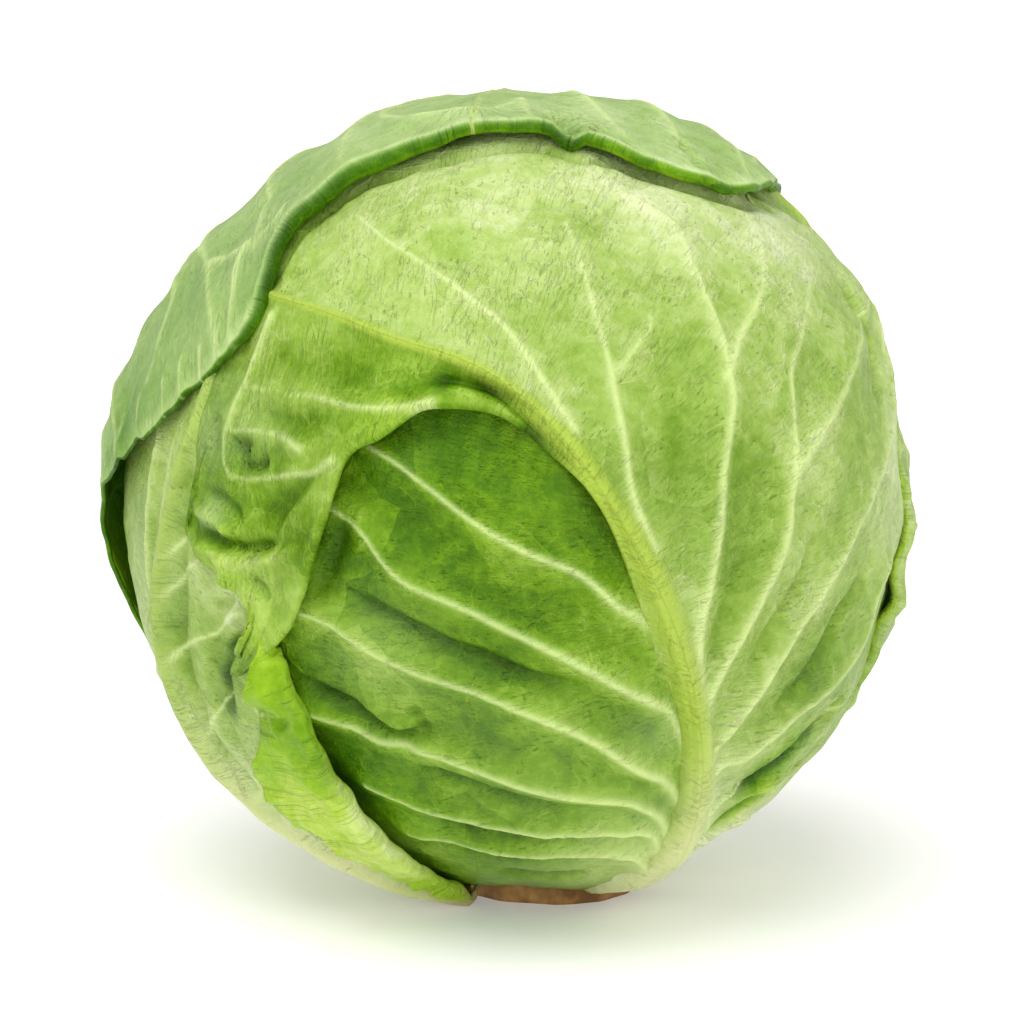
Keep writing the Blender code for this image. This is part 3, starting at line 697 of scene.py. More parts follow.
class CABBAGE_OT_front_leaf(bpy.types.Operator):
    """Lay the big front leaf: its right blade, its thick midrib and the tip that folds over to the left"""

    bl_idname = "cabbage.front_leaf"
    bl_label = "Front leaf"

    def execute(self, context):
        low = [1.6, 3.0, 2.8, 2.6, 2.8, 3.0, 3.2] + [3.4] * 13
        right = [4.0, 3.8, 3.4, 2.4, 2.6, 4.2, 3.0] + [2.4] * 13
        edge = [3.0, 2.0, 1.4, 0.8, 1.0, 2.4, 4.0, 5.4, 6.4, 6.6, 6.6, 6.2, 6.0, 5.8, 5.8, 6.0, 5.6, 5.2, 4.8, 4.2]
        blade = Blade(FRONT_RIB, FRONT_MARGIN, low, right)
        flap = Blade(
            FRONT_RIB, FLAP_EDGE, low, edge, via=FLAP_VIA,
            curl=(-1, [0.5] * 4 + [0.6, 0.8, 1.1, 1.3, 1.2, 1.0, 0.8, 0.8, 0.8, 0.7] + [0.4] * 6,
                  [70] * 4 + [80, 120, 165, 175, 175, 170, 170, 165, 160, 150, 60] + [40] * 5,
                  [0.5] * 4 + [1, 1.2, 1.2, 1, 1, 1, 2, 4, 3, 2] + [0.3] * 6, 0.0),
            ruffle=([0] * 7 + [0.1] * 6 + [0.2, 0.4, 0.7, 1.2, 0.5, 0.3, 0.3], 9.0, 0.5,
                    [0] * 11 + [0.1, 0.1, 0.3, 0.5, 0.8, 1.2, 0.2, 0.1, 0.1]),
        )
        rows = even_rows(blade.inner, toward(FLAP_EDGE), 330)
        lines = front_lines() + flap_lines()
        base = [(33, -68, 24, 0.44)]
        dry = [(26, -82, 9, 0.9)]
        bm = bmesh.new()
        lay_blade(
            bm, blade, rows, 138, lines, tone=0.60, seed=11, crumple=0.8, dries=dry,
            bulges=[(60, 10, 22, 0.8), (76, -20, 14, -1.2), (84, 27, 9, 1.8), (84, 46, 10, -2.0),
                    (84, 2, 12, -2.2)],
            # Pale low down by the stem, paler high up as painted light from above, and dark in the two pockets at
            # the lower right as painted shade.
            tones=base + [(45, 60, 30, 0.22), (-8, 56, 28, 0.14), (75, 40, 30, 0.20), (30, 5, 24, -0.11),
                          (50, -25, 18, -0.12), (60, -50, 22, 0.06), (72, 6, 18, 0.16), (-12, 38, 20, 0.04),
                          (57, -36.4, 4.2, -0.5), (51, -39.8, 4.5, -0.6), (45.5, -41.8, 4.2, -0.6),
                          (41, -43.2, 3, -0.4), (56, -46.6, 3.6, -0.45), (49.5, -49.4, 4, -0.6),
                          (44.5, -52, 3.6, -0.55), (15, 30, 12, 0.10)],
            # The painted shade in the two pockets at the lower right also takes off the bloom there and makes the
            # green fresher.
            wax=0.10, waxes=[(45, 62, 26, 0.10), (80, 45, 25, 0.25), (80, 0, 24, 0.35), (48, -50, 20, 0.35),
                             (34, -44, 12, 0.5), (20, 60, 22, 0.05), (52, -39, 6, -0.7), (50, -49, 6, -0.7),
                             (45, -42, 6, -0.6), (44, -52, 6, -0.6)],
            freshes=[(-20, 45, 34, 0.2), (40, 62, 26, 0.15), (52, -39, 7, 0.9), (50, -49, 7, 0.9),
                     (44.5, -42, 6, 0.8)],
            fold_shading=0.07,
        )
        finish_leaf("front_leaf_right_blade", bm, finish_of("green"), "front_leaf")
        bm = bmesh.new()
        lay_blade(
            bm, flap, rows, 82, lines, curl_columns=10, tone=0.485, seed=12, crumple=0.75, fold_shading=0.10,
            dries=dry,
            # Painted shade: dark along the crevice behind the rolled edge and in a dimple, and darker on the roll's
            # underside.
            tones=base + [(-30, 5, 7, -0.14), (-46, 19, 7, -0.06), (-16, 21, 7, 0.06), (-40, -6, 8, 0.10),
                          (-9, 26.3, 3, -0.3), (-13.5, 24.6, 3, -0.22), (-9, 25, 2.5, -0.12), (-2, 24, 3, -0.3),
                          (4, 18, 3, -0.3), (8, 12, 3, -0.25), (-41, 17, 4, -0.10), (-36, 31, 12, 0.06),
                          (-33, 6, 5, 0.14)],
            curl_shading=-0.10, fresh=0.15, freshes=[(-15, 22, 14, 0.5), (-42, -6, 14, 0.5), (-45, 5, 12, 0.3)],
            waxes=[(-49, 19, 7, 0.45), (-46, 8, 3.5, 0.6), (-48, 26, 6, 0.25), (-40, 20, 8, 0.2),
                   (-38, -2, 6, 0.2)],
        )
        finish_leaf("front_leaf_folded_tip", bm, finish_of("green"))
        return {"FINISHED"}


class CABBAGE_OT_tucked_blade(bpy.types.Operator):
    """Lay the front leaf's left blade, which runs in under the folded tip in ridges along its veins"""

    bl_idname = "cabbage.tucked_blade"
    bl_label = "Tucked blade"

    def execute(self, context):
        ridge = dict(width=1.3, height=0.9, swell=3.3, spread=4.2, shown=1.0)
        lines = [
            vein([(20, -8), (18, -5), (14, 4), (11, 11), (7, 15), (3, 19), (-1, 22), (-6, 24)], 1.1, 0.6, 1.4),
            *veins(
                [(24, -26), (20, -15), (17, -10), (13, -7), (8, -2), (1, 2), (-5, 6), (-11, 11), (-16, 15),
                 (-21, 18)],
                [(27, -36), (21, -25), (18, -22), (12, -18), (5, -13), (-3, -8), (-10, -4), (-16, -1), (-19, 2),
                 (-22, 6), (-26, 9)],
                [(29, -46), (21, -36), (14, -31), (8, -26), (0, -21), (-8, -17), (-16, -14), (-22, -11), (-28, -7),
                 (-34, -5)],
                [(30, -54), (22, -44), (16, -39), (10, -37), (-1, -34), (-10, -30), (-19, -27), (-25, -26),
                 (-30, -23), (-37, -21)],
                [(29, -57), (21, -48), (8, -45), (-2, -44), (-13, -41), (-22, -39), (-28, -37), (-32, -35)],
                [(28, -61), (20, -55), (9, -53), (-3, -51), (-17, -49), (-30, -47)],
                **ridge,
            ),
            fold([(9, -18), (1, -16), (-6, -12.5), (-11, -10.5), (-15, -8), (-21, -4.5), (-25, -2.5), (-29, 1)],
                 -2.2, 2.4, 1.0),
            fold([(-14, -23), (-22, -25), (-27, -22), (-29, -20), (-33, -18), (-39, -15)], -3.2, 2.8, 1.0),
            fold([(-17, -26), (-18, -23), (-19, -20)], -1.4, 1.3),
            fold([(8, -39), (4, -39), (-4, -37), (-14, -33), (-23, -31)], -2.2, 2.4, 1.0),
            fold([(16, -49), (11, -48), (1, -47), (-12, -45), (-23, -42.5)], -3.2, 2.6, 1.0),
            fold([(8, -57), (-6, -56), (-16, -55), (-26, -53)], -3.2, 2.6, 1.0),
            fold([(12, -6), (4, 1), (-5, 8), (-12, 14)], -1.6, 2.6),
            fold([(10, -14), (2, -9), (-6, -4), (-13, 0)], -1.2, 2.2),
            fold([(-24, 9), (-27, 3), (-31, -4)], -1.6, 2.4),
            fold([(12, -64), (-4, -65), (-18, -62)], -2.4, 1.4, 2.8),
        ]
        low = [5.6, 3.8, 2.4, 1.8, 1.4, 0.8, 0.0, 0.0]
        far = [5.2, 2.6, 0.2, 0.0, 0.0, 0.2, 0.8, 1.2]
        blade = Blade(FRONT_RIB[:8], UNDER_MARGIN, low, far)
        bm = bmesh.new()
        lay_blade(
            bm, blade, even_rows(blade.inner, blade.outer, 250), 168, lines, tone=0.325, seed=21, crumple=0.7,
            bulges=[(0, -30, 30, 1.6), (0, 10, 20, 0.4), (-26, -20, 12, -0.6)], dries=[(0, -82, 14, 0.8)],
            fold_shading=0.08, rib_calm=0.13,
            # Painted shade: darker and a fresher green under the folded tip and in the valley beside the left
            # leaf's rolled margin.
            tones=[(20, -62, 20, 0.34), (-6, 20, 12, -0.12), (-26, -14, 14, 0.14), (-37, -38, 10, -0.24),
                   (8, -30, 18, 0.06), (-30, -60, 14, 0.12), (-25, 2, 8, -0.12)],
            fresh=0.35, freshes=[(-6, 20, 20, 0.4), (-36, -38, 16, 0.7)],
            waxes=[(22, -48, 13, 0.55), (20, -28, 9, 0.3), (6, -62, 16, 0.35), (0, -32, 22, 0.15),
                   (-22, -12, 14, 0.2)],
        )
        finish_leaf("front_leaf_tucked_blade", bm, finish_of("green"))
        return {"FINISHED"}


# ---------------------------------------------------------------- the left leaf


class CABBAGE_OT_left_leaf(bpy.types.Operator):
    """Lay the pale left leaf, whose front margin rolls out and back over itself"""

    bl_idname = "cabbage.left_leaf"
    bl_label = "Left leaf"

    def execute(self, context):
        rib = [(-58, -75), (-63, -60), (-66, -43), (-66, -25), (-63, -8), (-59, 8), (-55, 25), (-53, 42)]
        left = [(-74, -75), (-72, -56), (-75, -38), (-79, -20), (-86, -2), (-92, 12), (-94, 27), (-86, 42)]
        right = [(-46, -74), (-40, -62), (-35.5, -48), (-37, -31), (-38, -18), (-41, -6), (-45, 12), (-47, 27)]
        lines = [
            Line(toward([(-50, -72), (-56, -57), (-62.5, -47), (-67, -40.5), (-69, -34), (-68.5, -26), (-66, -15),
                         (-62.6, -6), (-59.3, 1), (-56.3, 9), (-53, 19), (-52, 30)]),
                 3.0, 2.7, 2.5, 1.0, 5.0, 1.0, (1.35, 1.3, 1.2, 1.05, 0.85, 0.7, 0.6), main=True),
            vein([(-66, -15), (-66, -4), (-65, 3), (-65, 12), (-65.5, 22)], 1.3, 1.2, 0.8, 3.0),
            vein([(-63, -7), (-61.5, 3), (-60, 11), (-59, 20)], 0.9, 0.6, 0.3, 3.0, 0.7),
            vein([(-63, -1), (-59, 1), (-56, 3), (-52, 6), (-49, 9)], 0.9, 0.5, 0.4, 3),
            vein([(-66, -8), (-60, -4), (-56, -1), (-52, 1), (-48, 3)], 0.9, 0.5, 0.4, 3),
            vein([(-69, -18), (-62, -13), (-55, -10.5), (-50, -9), (-44, -4)], 0.9, 0.5, 0.5, 3),
            vein([(-72, -30), (-64, -26), (-57, -22), (-52, -19)], 1.0, 0.5, 0.5, 3),
            vein([(-70, -42), (-63, -38), (-56, -34)], 1.0, 0.5, 0.5, 3),
            vein([(-64, -54), (-56, -50), (-50, -46)], 1.0, 0.5, 0.5, 3),
            fold([(-52, 12), (-55.5, 2), (-58.6, -6), (-62, -15), (-64.4, -26), (-63.6, -34), (-59, -42),
                  (-54, -51), (-49, -59)], -2.2, 2.0),
            fold([(-48, -4), (-53, -14), (-57, -24), (-56, -34), (-49, -44)], -1.8, 2.4),
            # The slit and the small puckers where the margin begins to roll.
            fold([(-43, -7.5), (-45, -10), (-48, -12.4), (-51, -15), (-52, -18.5), (-54, -23)], -3.0, 1.6),
            fold([(-42, -6), (-45, -6), (-47.5, -8)], 1.4, 1.2),
            fold([(-45, -3), (-47, -4.5), (-50, -5)], -1.2, 1.2),
        ]
        low = [4.2, 4.0, 4.4, 4.6, 4.2, 3.6, 3.2, 3.0]
        lip = [4.2, 4.4, 4.2, 3.6, 3.0, 2.4, 2.2, 2.2]
        tucked = [3.6, 4.4, 4.8, 5.0, 5.2, 4.8, 4.2, 3.6]
        bm = bmesh.new()
        far = Blade(rib, left, low, tucked)
        near = Blade(
            rib, right, low, lip,
            curl=(1, [0.4, 0.9, 1.6, 1.8, 1.5, 0.7, 0.5, 0.5], [20, 165, 184, 182, 184, 90, 60, 40],
                  [0.2, 4.0, 12.0, 19.0, 11.0, 0.8, 0.4, 0.3], 1.6),
            ruffle=([0.0, 0.2, 0.4, 0.5, 0.8, 0.6, 0.4, 0.3], 12.0, 0.55, [0.1, 0.2, 0.3, 0.4, 0.6, 0.5, 0.3, 0.3]),
        )
        rows = even_rows(near.inner, near.outer, 300)
        # Pale low down; painted shade as a darker strip beside the rib and dark in the slit where the margin begins
        # to roll.
        tones = [(-54, -46, 24, 0.38), (-64, -30, 4, -0.22), (-60.5, -39, 4, -0.22), (-56, -47, 4, -0.22),
                 (-51, -55, 4, -0.2), (-66, 4, 22, -0.16), (-47, -11.5, 3, -0.5), (-51.5, -16.5, 3, -0.55),
                 (-53, -21, 3, -0.4)]
        dries = [(-56, -75, 9, 1.0)]
        lay_blade(bm, far, rows, 46, lines, tone=0.72, seed=31, tones=tones, dries=dries, crumple=0.5,
                  waxes=[(-75, 0, 25, 0.35), (-58, -40, 26, 0.45)])
        lay_blade(bm, near, rows, 58, lines, curl_columns=36, tone=0.68, seed=32,
                  tones=tones + [(-38, -20, 12, -0.10)], curl_shading=-0.06, dries=dries,
                  waxes=[(-60, 0, 22, 0.30), (-58, -40, 26, 0.55)], curl_wax=0.0, curl_fresh=1.0, crumple=0.6)
        finish_leaf("left_leaf_blade", bm, finish_of("pale"), "left_leaf")
        return {"FINISHED"}


# ---------------------------------------------------------------- the rear leaves


class CABBAGE_OT_rear_leaves(bpy.types.Operator):
    """Lay the leaves round the sides and the back, each with a rib, side veins and a wavy margin"""

    bl_idname = "cabbage.rear_leaves"
    bl_label = "Rear leaves"

    def execute(self, context):
        self.leaf(
            "left_rear_leaf", 41,
            [(-112, -79), (-114, -52), (-115, -26), (-114, 0), (-112, 26), (-108, 48), (-100, 62)],
            [(-136, -79), (-150, -52), (-158, -28), (-160, 0), (-156, 28), (-146, 52), (-120, 68)],
            [(-84, -79), (-68, -52), (-68, -30), (-72, -5), (-78, 20), (-82, 42), (-88, 60)],
            [3.4, 3.2, 3.2, 3.2, 3.0, 2.6, 2.4], [3.0, 2.6, 2.6, 2.4, 2.2, 2.2, 2.0],
            [3.0, 3.0, 3.8, 3.0, 2.4, 2.2, 2.2], bulges=[(-91, -25, 12, 3.4)],
        )
        self.leaf(
            "right_leaf", 42,
            [(100, -79), (104, -55), (106, -30), (106, -5), (104, 20), (98, 42), (90, 58)],
            [(122, -79), (124, -54), (128, -28), (130, -2), (128, 24), (120, 46), (104, 62)],
            [(72, -79), (70, -57), (75, -39), (81, -17), (83, 1), (79, 24), (76, 48)],
            [3.4, 3.4, 3.6, 4.0, 3.6, 3.0, 2.6], [3.0, 3.4, 3.6, 3.4, 3.2, 2.8, 2.6],
            [3.0, 2.6, 2.6, 4.2, 2.0, 1.0, 1.0],
            curl=(-1, [0.5, 0.8, 1.2, 1.5, 0.8, 0.5, 0.4], [90, 130, 150, 170, 100, 60, 60],
                  [0.3, 1, 2.5, 5.0, 1.0, 0.3, 0.3], 0.3),
        )
        self.leaf(
            "right_rear_leaf", 43,
            [(146, -79), (147, -52), (148, -26), (148, 0), (146, 26), (140, 48), (128, 62)],
            [(166, -79), (182, -52), (190, -26), (192, 0), (188, 28), (176, 52), (150, 68)],
            [(126, -79), (112, -52), (106, -28), (104, 0), (104, 24), (104, 44), (104, 60)],
            [3.0, 2.2, 2.0, 2.0, 1.8, 1.6, 1.4], [2.6, 1.8, 1.4, 1.2, 1.2, 1.2, 1.2],
            [2.6, 1.6, 1.0, 1.0, 1.0, 1.0, 1.0],
        )
        return {"FINISHED"}

    def leaf(self, name, seed, rib, left, right, low, lift_left, lift_right, bulges=(), curl=None):
        """One rear leaf between its rib and its two margins, the right one curled if curl is given."""
        side = dict(width=1.2, height=0.8, swell=1.4, spread=5.0)
        starts = np.arange(0.5, 5.2, 0.62)
        lines = [Line(toward(rib), 2.4, 3.2, 3.2, 1.4, 7.0, 1.0, (1.5, 1.1, 1, 0.8, 0.5, 0.35), main=True)]
        lines += fan_of_veins(rib, left, starts, 1.5, **side) + fan_of_veins(rib, right, starts + 0.25, 1.5, **side)
        wavy = ([0.2, 0.8, 1.0, 1.0, 0.9, 0.6, 0.3], 14.0, 0.6, [0.4] * 7)
        bm = bmesh.new()
        first = Blade(rib, left, low, lift_left, ruffle=wavy)
        second = Blade(rib, right, low, lift_right, curl=curl, ruffle=wavy)
        rows = even_rows(first.inner, first.outer, 200)
        tones = [(rib[0][0], -66, 28, 0.28)]
        lay_blade(bm, first, rows, 66, lines, bulges, tone=0.56, tones=tones, wax=0.12, seed=seed, crumple=0.6)
        lay_blade(bm, second, rows, 66, lines, bulges, curl_columns=12 if curl else 0, tone=0.56, tones=tones,
                  wax=0.12, seed=seed + 20, curl_shading=0.1, crumple=0.6)
        finish_leaf(name + "_blade", bm, finish_of("green"), name)


# ---------------------------------------------------------------- the cap leaf


class CABBAGE_OT_cap_leaf(bpy.types.Operator):
    """Lay the waxy outermost leaf: up the back, over the top and down the left shoulder, its margin rolled under"""

    bl_idname = "cabbage.cap_leaf"
    bl_label = "Cap leaf"

    def execute(self, context):
        rib = [
            (194, -79), (194, -55), (194, -30), (193, -5), (190, 20), (187, 45), (183, 66), (175, 82), (0, 86),
            (-4, 80),
        ]
        # The strip runs up the right side of the rib, round its tip and down the left side.
        inner = rib + [(-5, 79)] * 3 + rib[::-1]
        outer = [
            (174, -79), (168, -55), (162, -30), (155, -5), (140, 18), (118, 36), (96, 45), (78, 47), (61, 49),
            (44, 57.5), (30, 67.5), (2, 71.5), (-22, 68.5), (-41, 62.5), (-50, 50), (-45.5, 37), (-49, 30),
            (-64, 18.5), (-84.5, 5), (-88, -16), (-112, -36), (-134, -56), (-146, -79),
        ]
        via = [None] * 14 + [(-64, 66), (-74, 58), (-84, 60)] + [None] * 6
        lift_in = [3.6, 4.6, 5.2, 5.4, 5.6, 5.8, 6.0, 6.2, 6.4, 6.4]
        lift_in = lift_in + [6.4] * 3 + lift_in[::-1]
        lift_out = [3.0, 4.5, 5.2, 5.4, 5.8, 6.2, 6.8, 7.4, 6.8, 7.0, 7.4, 7.4, 7.4, 7.6, 7.2, 6.6, 5.8, 6.4, 10.2,
                    6.2, 4.8, 4.2, 3.0]
        self.lay(Blade(inner, outer, lift_in, lift_out, via=via))
        return {"FINISHED"}

    def lay(self, blade):
        """Gives the strip its rolled margin and its veins, and finishes the piece."""
        side = dict(width=1.15, height=0.5, swell=1.0, spread=4.5, shown=0.8, end_width=0.6)
        lines = [
            Line(toward([(194, -78), (194, -30), (190, 20), (183, 66), (150, 84), (0, 84), (-4, 73)]),
                 1.5, 3.4, 3.4, 1.0, 7.0, 1.0, (1.2, 1.1, 1, 0.8, 0.6, 0.35, 0.25), main=True),
            *veins(
                [(-120, 78), (-96, 74), (-70, 70), (-56, 66), (-47, 62.5)],
                [(-108, 62), (-86, 58.5), (-67, 55), (-57.5, 49.5), (-53.5, 45.7)],
                [(-112, 46), (-90, 45), (-69.5, 42.5), (-57.2, 36.2), (-51.3, 30.6)],
                [(-69, 42.5), (-62, 44.4), (-55.2, 46.4), (-52.8, 50), (-52.7, 53)],
                [(-57, 46), (-55, 42.3), (-51.5, 38), (-48.2, 32)],
                [(-100, 42), (-79, 38), (-73, 33), (-70, 28.6), (-69, 24.3)],
                [(-110, 24), (-92, 21), (-82, 18), (-75, 14.5)],
                [(-110, 6), (-98, 4), (-90, 1)],
                [(-150, 80), (-80, 76), (-40, 74), (-20, 74.5), (2, 76), (30, 79)],
                [(30, 79), (24, 75), (20, 71.5)],
                [(80, 77), (62, 73), (49, 67), (44, 62)],
                [(100, 68), (76, 64), (62, 59), (56, 55)],
                [(120, 62), (95, 57), (76, 52), (69, 49)],
                [(190, 30), (160, 40), (130, 46), (100, 50), (80, 50)],
                [(192, 5), (165, 14), (145, 22)],
                [(194, -18), (176, -8), (162, 2)],
                [(194, 5), (222, 10), (250, 14), (270, 14)],
                [(194, -18), (215, -10), (236, -2)],
                [(188, 35), (220, 36), (250, 34), (275, 28)],
                **side,
            ),
            # Short twigs that run out to the margin on the left shoulder.
            *(vein([(lon, lat), (lon + 1.5, lat - 2.5), (lon + 3, lat - 5)], 0.7, 0.3, 0.4, 2, 0.7)
              for lon, lat in ((-53, 34), (-56, 31), (-60, 28.5), (-64, 26), (-71, 22), (-77, 18), (-83, 14))),
            fold([(-46, 71), (-30, 73.5), (-10, 75), (10, 76)], 1.0, 2.4),
            fold([(-60, 66), (-66, 56), (-66, 46), (-58, 40)], -1.0, 3.0),
            fold([(-76, 50), (-80, 38), (-76, 28)], 0.9, 3.0),
            fold([(36, 74), (33, 69), (31.5, 65.5), (31, 63)], -3.0, 1.5, 2.0),
            fold([(44, 71), (40, 67), (37, 64)], 1.4, 1.8),
            fold([(64, 60), (58, 55), (55, 52)], -2.0, 1.3),
        ]
        bm = bmesh.new()
        last = len(blade.outer) - 1
        stations = np.arange(last + 1)
        # How the margin rolls and waves from one end to the other, read between the stations given.
        roll = np.interp(stations, [0, 6, 7, 8, 10, 11, 13, 15, 16, 17, 18, last],
                         [0.5, 1.0, 0.9, 1.4, 1.7, 1.5, 2.3, 1.9, 1.0, 0.4, 0.5, 0.4])
        turn = np.interp(stations, [0, 6, 7, 8, 15, 16, 17, 18, last], [60, 110, 130, 175, 180, 150, 60, 60, 60])
        tail = np.interp(stations, [0, 8, 10, 15, 17, last], [0.4, 1.5, 2.5, 2.5, 0.5, 0.4])
        wavy = np.interp(stations, [0, 4, 8, 12, 16, 19, last], [0.3, 0.9, 0.5, 0.15, 0.15, 0.3, 0.6])
        ragged = np.interp(stations, [0, 8, 15, 16, 17, 18, last], [0.5, 0.5, 0.2, 1.2, 2.0, 2.0, 0.6])
        blade.curl, blade.ruffle = (-1, roll, turn, tail, 0.0), (wavy, 11.0, 0.6, ragged)
        rows = even_rows(blade.inner, blade.outer, 470, mirrored=True)
        lay_blade(
            bm, blade, rows, 76, lines, curl_columns=16, tone=0.50, seed=51, crumple=0.45, wax=0.42, curl_wax=0.0,
            # Painted shade on the rolled margin's underside, and a painted highlight along its crest.
            curl_shading=-0.34, curl_fresh=0.9, crest_highlight=0.22,
            tones=[(194, -62, 30, 0.3), (-30, 76, 24, 0.08), (-76, 14, 12, -0.16), (60, 62, 24, 0.24)],
            waxes=[(-60, 55, 30, 0.25), (-10, 78, 24, 0.2), (60, 66, 25, -0.1), (-78, 16, 18, -0.4)],
        )
        finish_leaf("cap_leaf_blade", bm, finish_of("waxy"), "cap_leaf")


# ---------------------------------------------------------------- heart and stem


class CABBAGE_OT_heart(bpy.types.Operator):
    """Make the tight ball of inner leaves that shows only in the gaps"""

    bl_idname = "cabbage.heart"
    bl_label = "Heart"

    def execute(self, context):
        bm = bmesh.new()
        layers, lay_layer = point_layers(bm)
        made = bmesh.ops.create_uvsphere(bm, u_segments=128, v_segments=72, radius=1.0)
        units = straightened(np.array([vert.co for vert in made["verts"]]))
        spiral = np.arctan2(units[:, 1], units[:, 0]) * 3 + units[:, 2] * 5
        lift = -3.0 + 0.5 * np.sin(spiral) + 0.5 * lumps(units * LEAF_BALL, 14, 61)
        points = head_centre + units * (heart_radius + lift)[:, None]
        # Flat underneath, where the stem goes in.
        points[:, 2] = np.maximum(points[:, 2], 9.0)
        values = {**dict.fromkeys(POINT_VALUES, 0.0), "midrib": FAR, "rib": FAR, "near": FAR, "tone": 0.80}
        for vert, point in zip(made["verts"], points):
            vert.co = point
            vert[lay_layer] = point
            for name, layer in layers.items():
                vert[layer] = values[name]
        heart = finish_piece("heart_ball", bm, finish_of("heart"))
        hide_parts("heart")
        return {"FINISHED"}


def stem_finish():
    """Cut cabbage stem: dried, corky rind round a moist woody pith that has browned in the air."""
    colours = bpy.context.scene.cabbage_colours
    material, tree = new_material("Cut woody cabbage stem")
    place = add(tree, "ShaderNodeTexCoord").outputs["Object"]
    stretched = add(tree, "ShaderNodeMapping", {"Scale": (1.0, 1.0, 0.25)}, {"Vector": place})
    fibre = add(tree, "ShaderNodeTexNoise", {"Scale": 900.0, "Detail": 4.0, "Roughness": 0.6},
                {"Vector": stretched.outputs[0]})
    stain = add(tree, "ShaderNodeTexNoise", {"Scale": 160.0, "Detail": 3.0}, {"Vector": place})
    share = add(tree, "ShaderNodeMapRange", {1: 0.35, 2: 0.65}, {0: stain.outputs["Fac"]}).outputs[0]
    colour = add(tree, "ShaderNodeMix", {6: linear(colours.stem), 7: linear(colours.rind)}, {0: share},
                 data_type="RGBA").outputs[2]
    dark = add(tree, "ShaderNodeMapRange", {1: 0.3, 2: 0.7, 3: 0.75, 4: 1.1}, {0: fibre.outputs["Fac"]}).outputs[0]
    shade = add(tree, "ShaderNodeMix", {0: 1.0}, {6: colour, 7: dark}, data_type="RGBA",
                blend_type="MULTIPLY").outputs[2]
    bump = add(tree, "ShaderNodeBump", {"Strength": 0.6, "Distance": 0.0006}, {"Height": fibre.outputs["Fac"]})
    shader = add(tree, "ShaderNodeBsdfPrincipled", {"Roughness": 0.62, "IOR": 1.45},
                 {"Base Color": shade, "Normal": bump.outputs[0]})
    add(tree, "ShaderNodeOutputMaterial", {}, {"Surface": shader.outputs[0]})
    return material


class CABBAGE_OT_stem(bpy.types.Operator):
    """Turn the cut stem: a ribbed woody butt with a slightly rough cut face"""

    bl_idname = "cabbage.stem"
    bl_label = "Stem"

    def execute(self, context):
        bm = bmesh.new()
        radius = (stem_high.x - stem_low.x) / 2 / METRE
        middle = (stem_high.x + stem_low.x) / 2 / METRE
        depth = (stem_high.z - stem_low.z) / METRE
        made = bmesh.ops.create_cone(bm, cap_ends=True, cap_tris=False, segments=96, radius1=radius,
                                     radius2=radius, depth=depth)
        bmesh.ops.translate(bm, vec=Vector((middle, 0, depth / 2)), verts=made["verts"])
        caps = [face for face in bm.faces if len(face.verts) > 8]
        for cap in caps:
            for size in (1.2, 2.5, 4.0, 4.0, 3.0):
                bmesh.ops.inset_region(bm, faces=[cap], thickness=size, depth=0.0)
        bmesh.ops.poke(bm, faces=caps)
        sides = [edge for edge in bm.edges if abs(edge.verts[0].co.z - edge.verts[1].co.z) > depth / 2]
        bmesh.ops.subdivide_edges(bm, edges=sides, cuts=14, use_grid_fill=True)
        points = np.array([vert.co for vert in bm.verts])
        around = np.arctan2(points[:, 1], points[:, 0] - middle)
        flat = np.stack([np.cos(around), np.sin(around), np.zeros(len(around))], axis=1)
        away = np.hypot(points[:, 0] - middle, points[:, 1])
        # Eleven shallow ribs round the rind, whose lower rim is worn in, and a slightly rough cut face.
        rough = 0.5 * np.sin(around * 11) + 0.5 * lumps(points, 4, 71)
        worn = np.exp(-points[:, 2] / 1.2)
        points = points + flat * ((rough * 0.5 - worn * 0.9) * (away > radius * 0.9))[:, None]
        face = (points[:, 2] < 0.1) & (away < radius * 0.8)
        points[:, 2] += np.where(face, 0.25 * (1 + lumps(points + 50, 3, 72)), 0)
        # The butt is oval, and reaches further to the left than to the right.
        points[:, 0] = np.where(points[:, 0] < middle, middle + (points[:, 0] - middle) * 1.32, points[:, 0] * 1.04)
        for vert, point in zip(bm.verts, points):
            vert.co = point
        piece = finish_piece("cut_stem", bm, stem_finish())
        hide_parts("stem_butt")
        return {"FINISHED"}


# ---------------------------------------------------------------- the stage


